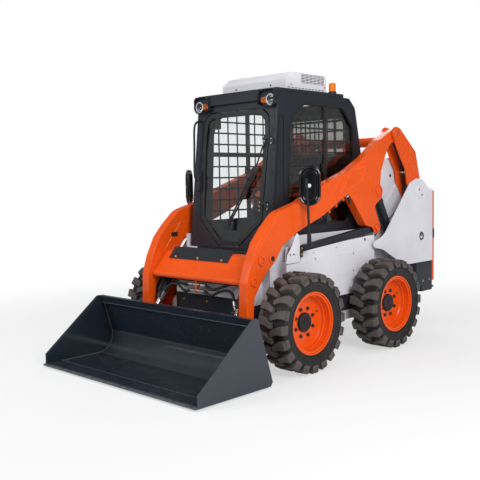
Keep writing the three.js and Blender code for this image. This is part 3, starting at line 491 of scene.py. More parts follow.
@dataclass(frozen=True)
class Glass(Finish):
    """Tinted safety glass with a film of dust."""

    clear: float = 1.0
    ribs: float = 0.0

    def make(self) -> bpy.types.Material:
        """Makes the glass material."""
        t = Tree(self.name)
        film = t.times(t.ramp(t.noise(5, 6, 0.65), 0.45, 0.8), t.ramp(t.noise(90, 4), 0.4, 0.8))
        t.set(Base_Color=t.mix(t.times(film, 0.12), self.colour, (0.62, 0.58, 0.52)))
        t.set(Roughness=t.ramp(film, 0.0, 1.0, self.rough, self.rough + 0.18))
        t.set(Transmission_Weight=self.clear, IOR=1.42, Specular_IOR_Level=0.6)
        if self.ribs:
            t.bump(t.noise(self.ribs, 1, 0.3, t.stretched((1.0, 1.0, 0.1))), 0.5, 0.001)
        return t.material


@dataclass(frozen=True)
class Mirror(Finish):
    """Silvered glass."""

    def make(self) -> bpy.types.Material:
        """Makes the mirror's material."""
        t = Tree(self.name)
        t.set(Base_Color=t.mix(t.ramp(t.noise(14, 4), 0.5, 0.9), self.colour, (0.6, 0.6, 0.6)), Metallic=1.0)
        t.set(Roughness=t.ramp(t.noise(40, 4), 0.4, 0.9, self.rough, self.rough + 0.08))
        return t.material


ORANGE = Paint("paint_orange", (0.86, 0.093, 0.003), "orange_paint", 0.25, dust=0.01, wear_and_highlight=0.2, coat=0.1)
WHITE = Paint("paint_white", (0.76, 0.75, 0.8), "white_paint", 0.34, dust=0.06, wear_and_highlight=0.1, coat=0.15)
CHARCOAL = Paint("paint_charcoal", (0.013, 0.016, 0.023), "charcoal_paint", 0.36, dust=0.03, wear_and_highlight=0.35,
                 coat=0.08)
# bucket paint: convex edges painted much lighter, as worn steel and as a painted highlight
BUCKET = Paint("paint_bucket", (0.016, 0.023, 0.035), "charcoal_paint", 0.19, dust=0.04, wear_and_highlight=0.9,
               coat=0.3, bare_before=-1.7)
REFLECTOR = Paint("lamp_silver", (0.78, 0.79, 0.82), "bright_steel", 0.18, dust=0.0, wear_and_highlight=0.0, coat=0.5)
WELD = Paint("paint_weld", (0.115, 0.115, 0.12), "charcoal_paint", 0.33, dust=0.02)
GLOSS = Paint("plastic_gloss", (0.006, 0.006, 0.008), "black_plastic", 0.13, dust=0.0, wear_and_highlight=0.0, coat=0.7)
BLACK = Plastic("plastic_black", (0.007, 0.007, 0.009), "black_plastic", 0.42)
TRIM = Plastic("plastic_interior", (0.01, 0.01, 0.012), "black_plastic", 0.6, grain=600.0)
SEAL = Rubber("rubber_seal", (0.01, 0.01, 0.011), "black_plastic", 0.55, dust=0.15)
TYRE = Rubber("rubber_tyre", (0.011, 0.01, 0.01), "tyre_rubber", 0.6, (0.06, 0.046, 0.04), 0.35)
LUG = Rubber("rubber_lug", (0.052, 0.046, 0.043), "tyre_rubber", 0.62, (0.13, 0.105, 0.092), 0.75)
HOSE = Rubber("rubber_hose", (0.012, 0.012, 0.013), "hose_rubber", 0.5, dust=0.25)
CHROME = Metal("metal_chrome", (0.8, 0.8, 0.82), "bright_steel", 0.06, scratch=0.03)
ZINC = Metal("metal_zinc", (0.62, 0.6, 0.55), "bright_steel", 0.26)
BRASS = Metal("metal_yellow_zinc", (0.66, 0.5, 0.24), "bright_steel", 0.3)
IRON = Metal("metal_cast", (0.1, 0.1, 0.105), "cast_engine", 0.5, scratch=0.4)
VINYL = Vinyl("vinyl_seat", (0.016, 0.016, 0.018), "seat_vinyl", 0.5)
GLASS = Glass("glass_cab", (0.93, 0.95, 0.95), "clear_glass", 0.0)
SMOKED = Glass("glass_smoked", (0.5, 0.5, 0.49), "clear_glass", 0.0)
LENS = Glass("glass_lens", (0.95, 0.95, 0.95), "lamp_lens", 0.03, ribs=220.0)
AMBER = Glass("glass_amber", (1.0, 0.24, 0.015), "amber_lens", 0.08, clear=0.55, ribs=180.0)
RED = Glass("glass_red", (0.75, 0.02, 0.01), "amber_lens", 0.1, clear=0.35, ribs=180.0)
SILVER = Mirror("glass_mirror", (0.86, 0.87, 0.88), "bright_steel", 0.02)


# ---------------------------------------------------------------- shaping


def to_object(name: str, part: Solid) -> bpy.types.Object:
    """Turns a bmesh into an object of the scene and frees it.

    Args:
        name: the object's name.
        part: the bmesh.

    Returns:
        The object.
    """
    data = bpy.data.meshes.new(name)
    part.to_mesh(data)
    part.free()
    piece = bpy.data.objects.new(name, data)
    bpy.context.scene.collection.objects.link(piece)
    return piece


def cuboid(low: Point, high: Point) -> Solid:
    """Returns a box between two corners.

    Args:
        low: lowest corner.
        high: highest corner.
    """
    part = bmesh.new()
    a, b = Vector(low), Vector(high)
    bmesh.ops.create_cube(part, size=1.0)
    bmesh.ops.scale(part, vec=b - a, verts=part.verts)
    bmesh.ops.translate(part, vec=(a + b) / 2, verts=part.verts)
    return part


class Form:
    """Metal, rubber or glass shaped with mesh operators, in the row frame."""

    def __init__(self) -> None:
        """Starts with nothing."""
        self.mesh = bmesh.new()

    def take(self, part: Solid, matrix: Optional[Matrix] = None) -> "Form":
        """Moves a finished bmesh into this form, after turning it by a matrix.

        Args:
            part: the bmesh, which is freed.
            matrix: a turn and move applied first.

        Returns:
            This form, as from every method that adds to it.
        """
        if matrix is not None:
            bmesh.ops.transform(part, matrix=matrix, verts=part.verts)
        data = bpy.data.meshes.new("part")
        part.to_mesh(data)
        part.free()
        self.mesh.from_mesh(data)
        bpy.data.meshes.remove(data)
        return self

    @staticmethod
    def soften(part: Solid, width: float, segments: int = 2, angle: float = 30) -> None:
        """Bevels the edges of a bmesh that are sharper than an angle.

        Args:
            part: the bmesh.
            width: width of the bevel.
            segments: its steps.
            angle: in degrees.
        """
        if width <= 0:
            return
        sharp = [e for e in part.edges
                 if len(e.link_faces) == 2 and e.calc_face_angle(0) > math.radians(angle)]
        bmesh.ops.bevel(part, geom=sharp, offset=width, offset_type="OFFSET", segments=segments,
                        profile=0.5, affect="EDGES", material=-1, clamp_overlap=False)

    def block(self, low: Point, high: Point, bevel: float = 0.002,
              matrix: Optional[Matrix] = None) -> "Form":
        """Adds a box between two corners.

        Args:
            low: lowest corner.
            high: highest corner.
            bevel: width of the softened edges.
            matrix: a turn applied at the end.
        """
        part = cuboid(low, high)
        self.soften(part, min(bevel, min(Vector(high) - Vector(low)) * 0.4))
        return self.take(part, matrix)

    def rod(self, start: Point, end: Point, radius: float, tip: Optional[float] = None,
            sides: int = 32, bevel: float = 0.0015) -> "Form":
        """Adds a round bar, or a cone where tip differs from radius.

        Args:
            start: one end.
            end: the other end.
            radius: radius at the start.
            tip: radius at the end.
            sides: faces round it.
            bevel: width of the softened edges.
        """
        part = bmesh.new()
        a, b = Vector(start), Vector(end)
        way = b - a
        bmesh.ops.create_cone(part, cap_ends=True, cap_tris=False, segments=sides, radius1=radius,
                              radius2=radius if tip is None else tip, depth=way.length)
        self.soften(part, min(bevel, radius * 0.4, way.length * 0.4), 2, 50)
        turn = way.to_track_quat("Z", "Y").to_matrix().to_4x4()
        return self.take(part, Matrix.Translation((a + b) / 2) @ turn)

    def sheet(self, outline: Outline, axis: str, low: float, high: float, bevel: float = 0.0015,
              hole: Optional[Outline] = None, matrix: Optional[Matrix] = None) -> "Form":
        """Adds a flat plate cut to an outline.

        Args:
            outline: corners in the two axes that are not axis, in X, Y, Z order.
            axis: the axis that the plate's thickness lies along.
            low: where the plate starts along it.
            high: where it ends.
            bevel: width of the softened edges.
            hole: corners of an opening, as many as the outline has.
            matrix: a turn applied at the end.
        """
        part = bmesh.new()
        index = "XYZ".index(axis)

        def spot(uv: Sequence[float]) -> Vector:
            """Returns a corner of the outline in space."""
            values = list(uv[:2])
            values.insert(index, low)
            return Vector(values)

        loops = []
        for ring in filter(None, (outline, hole)):
            verts = [part.verts.new(spot(uv)) for uv in ring]
            loops.append([part.edges.new((verts[i - 1], verts[i])) for i in range(len(verts))])
        if hole:
            bmesh.ops.bridge_loops(part, edges=[e for loop in loops for e in loop])
        else:
            bmesh.ops.contextual_create(part, geom=loops[0])
        grown_part = bmesh.ops.extrude_face_region(part, geom=part.faces[:])
        moved = [v for v in grown_part["geom"] if isinstance(v, bmesh.types.BMVert)]
        step = Vector((0.0, 0.0, 0.0))
        step[index] = high - low
        bmesh.ops.translate(part, vec=step, verts=moved)
        bmesh.ops.recalc_face_normals(part, faces=part.faces)
        self.soften(part, bevel, 2, 40)
        return self.take(part, matrix)

    def lathe(self, profile: Sequence[Point], centre: Point, axis: Point, steps: int = 64,
              closed: bool = False) -> "Form":
        """Adds a turned piece: profile is [radius, distance along the axis] points.

        Args:
            profile: the section on one side of the axis.
            centre: where distance 0 lies.
            axis: direction of the axis.
            steps: faces round it.
            closed: whether the section's ends are joined.
        """
        part = bmesh.new()
        verts = [part.verts.new((r, 0.0, h)) for r, h in profile]
        edges = [part.edges.new((verts[i - 1], verts[i])) for i in range(0 if closed else 1, len(verts))]
        bmesh.ops.spin(part, geom=verts + edges, cent=ORIGIN, axis=UP, angle=math.tau,
                       steps=steps, use_merge=True, use_duplicate=False)
        bmesh.ops.remove_doubles(part, verts=part.verts, dist=1e-5)
        bmesh.ops.recalc_face_normals(part, faces=part.faces)
        turn = Vector(axis).to_track_quat("Z", "Y").to_matrix().to_4x4()
        return self.take(part, Matrix.Translation(Vector(centre)) @ turn)

    def ring(self, centre: Point, axis: Point, outer: float, inner: float, width: float,
             steps: int = 40) -> "Form":
        """Adds a bored boss with softened rims, centred on a point.

        Args:
            centre: its middle.
            axis: direction of its bore.
            outer: outer radius.
            inner: radius of the bore.
            width: length along the axis.
            steps: faces round it.
        """
        c = min(0.002, (outer - inner) * 0.3, width * 0.3)
        h = width / 2
        return self.lathe([(inner, -h), (outer - c, -h), (outer, -h + c), (outer, h - c),
                           (outer - c, h), (inner, h)], centre, axis, steps, closed=True)

    def pipe(self, points: Sequence[Point], radius: float, sides: int = 12, steps: int = 6) -> "Form":
        """Adds a round tube along a smooth path, capped at its ends.

        Args:
            points: what its middle runs through.
            radius: its radius.
            sides: faces round it.
            steps: pieces between each two points.
        """
        curve = bpy.data.curves.new("pipe", "CURVE")
        curve.dimensions = "3D"
        curve.bevel_depth = radius
        curve.bevel_resolution = max(0, sides // 4 - 1)
        curve.use_fill_caps = True
        path = smooth_path(points, steps) if len(points) > 2 else [Vector(p) for p in points]
        spline = curve.splines.new("POLY")
        spline.points.add(len(path) - 1)
        for slot, p in zip(spline.points, path):
            slot.co = (*p, 1.0)
        holder = bpy.data.objects.new("pipe", curve)
        data = bpy.data.meshes.new_from_object(holder)
        part = bmesh.new()
        part.from_mesh(data)
        bmesh.ops.remove_doubles(part, verts=part.verts, dist=1e-6)
        bmesh.ops.recalc_face_normals(part, faces=part.faces)
        bpy.data.objects.remove(holder)
        bpy.data.curves.remove(curve)
        bpy.data.meshes.remove(data)
        return self.take(part)

    def loft(self, loops: Sequence[Sequence[Point]], bevel: float = 0.0) -> "Form":
        """Adds a capped skin over loops that have the same number of points.

        Args:
            loops: the loops from one end to the other.
            bevel: width of the softened edges.
        """
        part = bmesh.new()
        rings = []
        for loop in loops:
            verts = [part.verts.new(p) for p in loop]
            rings.append([part.edges.new((verts[i - 1], verts[i])) for i in range(len(verts))])
        for a, b in zip(rings, rings[1:]):
            bmesh.ops.bridge_loops(part, edges=a + b)
        bmesh.ops.contextual_create(part, geom=rings[0])
        bmesh.ops.contextual_create(part, geom=rings[-1])
        bmesh.ops.recalc_face_normals(part, faces=part.faces)
        self.soften(part, bevel, 1, 40)
        return self.take(part)

    def bolt(self, place: Point, way: Point, size: float = 0.009, washer: bool = True) -> "Form":
        """Adds a hexagon bolt head with its washer, standing on a face.

        Args:
            place: middle of its foot.
            way: the way it points.
            size: half its width.
            washer: whether a washer lies under it.
        """
        p, n = Vector(place), Vector(way).normalized()
        if washer:
            self.rod(p - n * 0.001, p + n * size * 0.25, size * 1.35, sides=20, bevel=0.0005)
        self.rod(p, p + n * size * 0.95, size, sides=6, bevel=0.0008)
        return self.rod(p, p + n * size * 1.15, size * 0.5, sides=12, bevel=0.0006)

    def weld(self, points: Sequence[Point], radius: float = 0.004, pitch: float = 0.007) -> "Form":
        """Adds a rippled weld bead along a path.

        Args:
            points: its path.
            radius: radius of each ripple.
            pitch: distance between them.
        """
        path = [Vector(p) for p in points]
        part = bmesh.new()
        for a, b in zip(path, path[1:]):
            count = max(1, round((b - a).length / pitch))
            for k in range(count):
                made = bmesh.ops.create_icosphere(part, subdivisions=1, radius=radius)["verts"]
                bmesh.ops.translate(part, vec=a.lerp(b, (k + 0.5) / count), verts=made)
        return self.take(part)

    def node(self, name: str, bevel: float = 0.0025, weld: float = 0.0006) -> "Form":
        """Adds a merged copy of a CAD node with its sharp edges softened.

        Args:
            name: the node.
            bevel: width of the softened edges.
            weld: how close two points are that become one.
        """
        part = bmesh.new()
        part.from_mesh(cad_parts[name].data)
        bmesh.ops.remove_doubles(part, verts=part.verts, dist=weld)
        bmesh.ops.dissolve_degenerate(part, dist=weld, edges=part.edges)
        bmesh.ops.dissolve_limit(part, angle_limit=math.radians(0.6), verts=part.verts,
                                 edges=part.edges)
        low = [min(v.co[k] for v in part.verts) for k in range(3)]
        high = [max(v.co[k] for v in part.verts) for k in range(3)]
        self.soften(part, bevel, 2, 28)
        for v in part.verts:
            v.co = [min(max(v.co[k], low[k]), high[k]) for k in range(3)]
        return self.take(part)

    def flip(self, side: Side) -> "Form":
        """Turns a piece made for the left into its mirror image where the side is the right."""
        if side is Side.RIGHT:
            bmesh.ops.scale(self.mesh, vec=(-1, 1, 1), verts=self.mesh.verts)
            bmesh.ops.reverse_faces(self.mesh, faces=self.mesh.faces)
        return self

    def on(self, side: Side, name: str, finish: Finish, body: str, replaces: Iterable[str] = (),
           **options: object) -> bpy.types.Object:
        """Places a piece made for the left on a side of the machine.

        Args:
            side: the side that it goes on.
            name: the piece's name without the side's word.
            finish: what it is covered with.
            body: the CAD body it moves with.
            replaces: the CAD nodes that it stands for.
            options: what place() is given besides.

        Returns:
            The new object.
        """
        return self.flip(side).place(f"{name}_{side.word}", finish, body, replaces, **options)

    def place(self, name: str, finish: Finish, body: str, replaces: Iterable[str] = (),
              smooth: float = 38, weigh: bool = True) -> bpy.types.Object:
        """Makes the form an object that rides on a body.

        Args:
            name: the piece's own name.
            finish: what it is covered with.
            body: the CAD body it moves with.
            replaces: the CAD nodes that it stands for.
            smooth: edges sharper than this angle stay crisp.
            weigh: whether flats are kept flat by weighted normals.

        Returns:
            The new object.
        """
        piece = to_object(name, self.mesh)
        data = piece.data
        data.materials.append(finish.build())
        data.shade_smooth()
        data.set_sharp_from_angle(angle=math.radians(smooth))
        if weigh:
            piece.modifiers.new("flats", "WEIGHTED_NORMAL").keep_sharp = True
        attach(piece, body)
        if replaces:
            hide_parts(*replaces)
        LOG.info("%s on %s: %d faces", name, body, len(data.polygons))
        return piece


def recast(node: str, name: str, finish: Finish, body: str, bevel: float, weld: float = 0.0006) -> None:
    """Replaces a CAD node by a copy of itself with softened edges.

    Args:
        node: the CAD node.
        name: the copy's name.
        finish: what it is covered with.
        body: the CAD body it moves with.
        bevel: width of the softened edges.
        weld: how close two points are that become one.
    """
    Form().node(node, bevel, weld).place(name, finish, body, (node,))


def dress(node: str, finish: Finish) -> None:
    """Gives a CAD node that keeps its shape a better material.

    Args:
        node: the node.
        finish: what it is covered with.
    """
    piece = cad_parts[node]
    piece.data.materials.clear()
    piece.data.materials.append(finish.build())
    LOG.info("%s keeps its shape", node)


def middle(node: str) -> Vector:
    """Returns the middle of a CAD node's box."""
    low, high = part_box(node)
    return (low + high) / 2


# ---------------------------------------------------------------- wheels


@dataclass
class Wheel:
    """A lugged tyre on a stepped steel rim, with its nuts, cap and valve."""

    name: str
    side: Side
    y: float
    x: float = 0.786
    axle_z: float = 0.3826
    lugs: int = 20
    nuts: int = 8
    nut_circle: float = 0.11
    tread: float = 0.3815

    def lug(self, form: Form, turn: float, hand: int) -> None:
        """Adds one boomerang lug.

        Args:
            form: the tyre.
            turn: angle round the wheel, in radians.
            hand: 1 for the outer row and -1 for the inner row.
        """
        stations = [  # place across, lean along the tread, width, foot and top radius
            (0.1237, 0.002, 0.066, 0.318, 0.346), (0.123, 0.002, 0.068, 0.33, 0.364),
            (0.117, 0.0, 0.069, 0.342, 0.378), (0.106, -0.001, 0.067, 0.345, self.tread),
            (0.072, -0.004, 0.06, 0.346, self.tread), (0.044, -0.013, 0.053, 0.347, self.tread),
            (0.008, -0.03, 0.047, 0.347, self.tread), (-0.006, -0.034, 0.036, 0.347, self.tread - 0.003),
        ]
        loops = []
        for x, lean, width, foot, top in stations:
            corners = [(-0.6, foot), (-0.5, top - 0.004), (-0.44, top), (0.44, top), (0.5, top - 0.004),
                       (0.6, foot)]
            loop = []
            for across, r in corners:
                a = turn + (lean + across * width) / self.tread
                loop.append((x * hand, r * math.sin(a), r * math.cos(a)))
            loops.append(loop)
        form.loft(loops)

    def tyre(self) -> None:
        """Builds the tyre from a spun section and two staggered rows of lugs."""
        half = [
            (0.2135, 0.0955), (0.243, 0.0955), (0.2465, 0.1085), (0.256, 0.113), (0.259, 0.116),
            (0.264, 0.116), (0.267, 0.114), (0.285, 0.118), (0.302, 0.1195), (0.304, 0.1212),
            (0.3075, 0.1212), (0.3095, 0.1195), (0.325, 0.1185), (0.337, 0.115), (0.345, 0.108),
            (0.349, 0.09), (0.3505, 0.04), (0.3508, 0.0),
        ]
        section = half + [(r, -x) for r, x in reversed(half[:-1])]
        form = Form().lathe(section, ORIGIN, LEFT, 96, closed=True)
        lugs = Form()
        for k in range(self.lugs):
            self.lug(lugs, math.tau * k / self.lugs, 1)
            self.lug(lugs, math.tau * (k + 0.5) / self.lugs, -1)
        self.put(lugs, f"tyre_lugs_{self.name}", LUG)
        for k in range(40):
            a = math.tau * (k + 0.5) / 40
            spot = (0.1165, 0.283 * math.sin(a), 0.283 * math.cos(a))
            form.rod(spot, (0.1205, *spot[1:]), 0.005, 0.0035, 8, 0)
        self.put(form, f"tyre_tread_{self.name}", TYRE, (f"tyre_{self.name}",))

    def rim(self) -> None:
        """Builds the rim, whose face steps in three times to the disc."""
        section = [
            (0, 0.0085), (0.088, 0.0085), (0.092, 0.011), (0.135, 0.011), (0.15, 0.0085),
            (0.176, 0.0092), (0.193, 0.014), (0.2005, 0.024), (0.2025, 0.043), (0.2095, 0.048),
            (0.211, 0.067), (0.2185, 0.072), (0.22, 0.09), (0.2275, 0.095), (0.2295, 0.107),
            (0.232, 0.1088), (0.239, 0.1088), (0.2414, 0.1065), (0.2416, 0.0985), (0.236, 0.0965),
            (0.2128, 0.0955), (0.2128, -0.0955), (0.2416, -0.0975), (0.2416, -0.107), (0.236, -0.1088),
            (0.231, -0.1065), (0.206, -0.099), (0.203, -0.02), (0.19, -0.0075),
            (0.068, -0.0075), (0.068, -0.145), (0, -0.145),
        ]
        form = Form().lathe(section, ORIGIN, LEFT, 72)
        self.put(form, f"rim_steps_{self.name}", ORANGE, (f"rim_{self.name}",), smooth=30)

    def fittings(self) -> None:
        """Builds the nuts, the hub cap and the valve."""
        form = Form()
        for k in range(self.nuts):
            a = math.tau * (k + 0.5) / self.nuts
            spot = (0.0108, self.nut_circle * math.sin(a), self.nut_circle * math.cos(a))
            form.rod(spot, (0.015, *spot[1:]), 0.0155, 0.0135, 20)
            form.bolt((0.0145, *spot[1:]), LEFT, 0.0125, washer=False)
        self.put(form, f"wheel_nuts_{self.name}", IRON)
        cap = Form().lathe([
            (0, 0.03), (0.022, 0.03), (0.026, 0.0275), (0.052, 0.027), (0.06, 0.03),
            (0.07, 0.0285), (0.0745, 0.022), (0.0745, 0.0086), (0, 0.0086),
        ], ORIGIN, LEFT, 48)
        cap.rod((0.0085, 0.148, 0.066), (0.03, 0.151, 0.067), 0.0042, 0.0036, 14)
        self.put(cap, f"hub_cap_{self.name}", BLACK)

    def put(self, form: Form, name: str, finish: Finish, replaces: Iterable[str] = (),
            smooth: float = 38) -> None:
        """Moves a piece made at the origin to this wheel's axle.

        Args:
            form: the piece.
            name: its name.
            finish: what it is covered with.
            replaces: the CAD nodes that it stands for.
            smooth: edges sharper than this angle stay crisp.
        """
        form.flip(self.side)
        centre = (self.side.value * self.x, self.y, self.axle_z)
        bmesh.ops.translate(form.mesh, vec=centre, verts=form.mesh.verts)
        form.place(name, finish, f"wheel_{self.name}", replaces, smooth)

    def build(self) -> None:
        """Builds the whole wheel."""
        self.tyre()
        self.rim()
        self.fittings()


# ---------------------------------------------------------------- chassis


@dataclass
class Chassis:
    """Main frame, side skins, uprights, bumper, engine cover and tailgate."""

    skin_x: float = 0.612
    tower_x: float = 0.653
    lamp: tuple[float, float] = (1.387, 0.89)
    gate_y: float = 1.656
    grille: tuple[float, float, float, float] = (-0.4, 0.4, 0.74, 1.16)

    def frame(self) -> None:
        """Builds the frame with its dark belt, bolts and pin guards."""
        recast("main_frame", "frame_weldment", WHITE, "chassis", 0.003)
        belt = Form()
        belt.block(at(-0.4, -0.8055, 0.205), at(0.4, -0.8005, 0.53), 0.0015)
        for s in (1, -1):
            for low, high in (((0.4005, -0.8, 0.205), (0.4045, -0.48, 0.47)),
                              ((0.408, -0.4845, 0.262), (0.598, -0.4805, 0.47)),
                              ((0.6125, -0.54, 0.335), (0.6165, 0.645, 0.47))):
                a, b = at(s * low[0], *low[1:]), at(s * high[0], *high[1:])
                belt.block((min(a.x, b.x), a.y, a.z), (max(a.x, b.x), b.y, b.z), 0.0015)
        knee = [(-0.8015, 0.63), (-0.5775, 0.893), (-0.5825, 0.895), (-0.8065, 0.632)]
        belt.sheet(seen(knee), "X", -0.402, 0.402, 0.001)
        belt.block(at(-0.4035, -0.592, 0.87), at(0.4035, -0.566, 0.895), 0.002)
        belt.place("frame_belt", CHARCOAL, "chassis")
        steel = Form()
        for x, z in ((-0.02, 0.475), (0.27, 0.415), (-0.3, 0.475), (-0.34, 0.33), (0.34, 0.33)):
            steel.bolt(at(x, -0.8055, z), FORWARD, 0.008)
        steel.place("frame_bolts", BRASS, "chassis")
        for side in Side:
            self.bracket(side)
        dress("engine_block", IRON)

    @staticmethod
    def bracket(side: Side) -> None:
        """Builds the guard plate over one front pin, with its hinge block.

        Args:
            side: the side that it is built on.
        """
        outline = [(-0.56, 0.8, 0.01), (-0.54, 0.87, 0.03), (-0.485, 0.935, 0.05), (-0.45, 1.0, 0.05),
                   (-0.424, 1.036, 0.012), (-0.402, 1.02, 0.02), (-0.384, 0.93, 0.03), (-0.384, 0.8, 0.01)]
        plate = Form().sheet(rounded(seen(outline)), "X", 0.6135, 0.6185, 0.0015)
        plate.on(side, "pin_guard", WHITE, "chassis")
        block = Form().block(at(0.6125, -0.392, 0.842), at(0.625, -0.356, 0.93), 0.003)
        for y in (-0.508, -0.464):
            block.rod(at(0.6183, y, 0.868), at(0.6192, y, 0.868), 0.0085, sides=20)
        block.on(side, "pin_guard_block", BLACK, "chassis")
        bolts = Form()
        for z in (0.862, 0.91):
            bolts.bolt(at(0.6248, -0.374, z), LEFT, 0.0075)
        bolts.on(side, "pin_guard_bolts", BRASS, "chassis")

    def skins(self, side: Side) -> None:
        """Builds one side skin with its folds, cover and bolts.

        Args:
            side: the side that it is built on.
        """
        x = self.skin_x
        recast(f"side_panel_{side.word}", f"side_skin_{side.word}", WHITE, "chassis", 0.003)
        fold = Form()
        fold.sheet(rounded([
            (-0.3 + DATUM.y, 0.655, 0.02), (0.36 + DATUM.y, 0.655, 0.02), (0.36 + DATUM.y, 0.842, 0.02),
            (-0.23 + DATUM.y, 0.842, 0.02)]), "X", x - 0.002, x + 0.003, 0.0012)
        fold.on(side, "skin_cover", WHITE, "chassis")
        bolts = Form()
        for y, z in ((-0.27, 0.665), (0.33, 0.665), (0.33, 0.81), (-0.19, 0.81)):
            bolts.bolt(at(x + 0.003, y, z), LEFT, 0.006)
        for y, z in ((-0.5, 0.74), (-0.215, 0.862), (0.09, 0.88), (0.62, 0.55)):
            bolts.bolt(at(x, y, z), LEFT, 0.006, washer=False)
        bolts.on(side, "skin_bolts", ZINC, "chassis")
        plug = Form().lathe([(0, 0.003), (0.008, 0.0028), (0.012, 0.001), (0.012, -0.001), (0, -0.001)],
                            at(x, 0.507, 0.918), LEFT, 28)
        plug.on(side, "skin_plug", BLACK, "chassis")

    def tower(self, side: Side) -> None:
        """Builds one upright with its boss, side lamp and bolts.

        Args:
            side: the side that it is built on.
        """
        x, (y, z) = self.tower_x, self.lamp
        recast(f"upright_{side.word}", f"tower_{side.word}", WHITE, "chassis", 0.003)
        lamp = Form().ring(at(x - 0.005, y, z), LEFT, 0.0395, 0.029, 0.014)
        lamp.on(side, "side_lamp_ring", SEAL, "chassis")
        lens = Form().lathe([(0, 0.006), (0.012, 0.0055), (0.024, 0.003), (0.0288, -0.002), (0.0288, -0.008),
                             (0, -0.008)],
                            at(x - 0.002, y, z), LEFT, 36)
        lens.on(side, "side_lamp_lens", CHROME, "chassis")
        bolts = Form()
        boss = at(x + 0.012, *TOWER_PIN)
        for dy, dz in ((-0.026, 0.026), (0.026, -0.026)):
            bolts.bolt(boss + Vector((0, dy, dz)), LEFT, 0.008)
        bolts.on(side, "tower_bolts", BRASS, "chassis")
        trim = Form().ring(at(x + 0.012, *TOWER_PIN), LEFT, 0.052, 0.04, 0.004)
        trim.on(side, "tower_rings", WHITE, "chassis")

    def bumper(self) -> None:
        """Builds the rear bumper with its bolts and towing pins."""
        recast("rear_bumper", "bumper_beam", CHARCOAL, "chassis", 0.008)
        bolts = Form()
        for s in (1, -1):
            for y, z in ((1.405, 0.458), (1.521, 0.464)):
                bolts.bolt(at(s * self.tower_x, y, z), (s, 0, 0), 0.01)
            bolts.bolt(at(s * 0.61, 1.585, 0.58), REARWARD, 0.012)
        bolts.place("bumper_bolts", ZINC, "chassis")
        pins = Form()
        for s in (1, -1):
            spot = at(s * 0.622, 1.584, 0.377)
            pins.rod(spot, spot + Vector((0, 0.06, 0)), 0.011, 0.011, 24)
            pins.ring(spot + Vector((0, 0.004, 0)), REARWARD, 0.02, 0.01, 0.006)
        pins.place("tow_pins", BLACK, "chassis")

    def cover(self) -> None:
        """Builds the engine cover with its vents, cap, side bolts, hoses and exhaust."""
        recast("engine_cover", "bonnet", WHITE, "chassis", 0.006)
        black, fins = Form(), Form()
        for s in (1, -1):
            black.rod(at(s * 0.487, 1.1, 1.47), at(s * 0.4915, 1.1, 1.47), 0.017, 0.014, 28)
            fins.ring(at(s * 0.4878, 1.1, 1.47), LEFT, 0.024, 0.016, 0.004)
        for k in range(10):
            t = k / 9
            y = 1.115 + 0.175 * t
            z = 1.6235 - 0.0955 * t
            fins.rod(at(-0.33, y, z), at(0.33, y, z), 0.0045, sides=12)
        black.sheet(rectangle(-0.35, 0.35, 1.17, 1.375, 0.02),
                    "Z", 0, 0.001, 0.0004, matrix=self.on_slope())
        black.place("bonnet_vents", BLACK, "chassis")
        fins.place("bonnet_fins", WHITE, "chassis")
        for side in Side:
            hose = Form().pipe([at(0.507, 0.9, 1.165), at(0.507, 0.945, 1.075), at(0.507, 1.01, 1.02),
                                at(0.504, 1.11, 0.985), at(0.495, 1.2, 0.975)], 0.0125, 16)
            hose.on(side, "lift_hose", HOSE, "chassis", weigh=False)
            dot = Form().bolt(at(0.4878, 1.155, 1.22), LEFT, 0.008)
            dot.on(side, "bonnet_bolt", BRASS, "chassis")
        grommet = Form().ring(at(-0.1, 0.735, 1.5895), UP, 0.03, 0.018, 0.008)
        grommet.rod(at(0.18, 0.8, 1.596), at(0.18, 0.8, 1.645), 0.028, 0.022)
        grommet.rod(at(0.18, 0.8, 1.645), at(0.18, 0.8, 1.665), 0.034)
        grommet.place("bonnet_cap", BLACK, "chassis")
        pipe = Form().pipe([at(-0.27, 1.02, 1.62), at(-0.27, 1.02, 1.74), at(-0.27, 1.04, 1.8),
                            at(-0.27, 1.09, 1.83)], 0.028, 20)
        pipe.ring(at(-0.27, 1.02, 1.642), UP, 0.04, 0.027, 0.014)
        pipe.place("exhaust_outlet", IRON, "chassis")

    @staticmethod
    def on_slope() -> Matrix:
        """Returns the move that lays a flat plate on the cover's rear slope."""
        return Matrix.Translation(at(0, 1.205, 1.5775)) @ Matrix.Rotation(-math.atan2(0.122, 0.23), 4, "X") \
            @ Matrix.Translation(Vector((0, -1.2725, 0)))

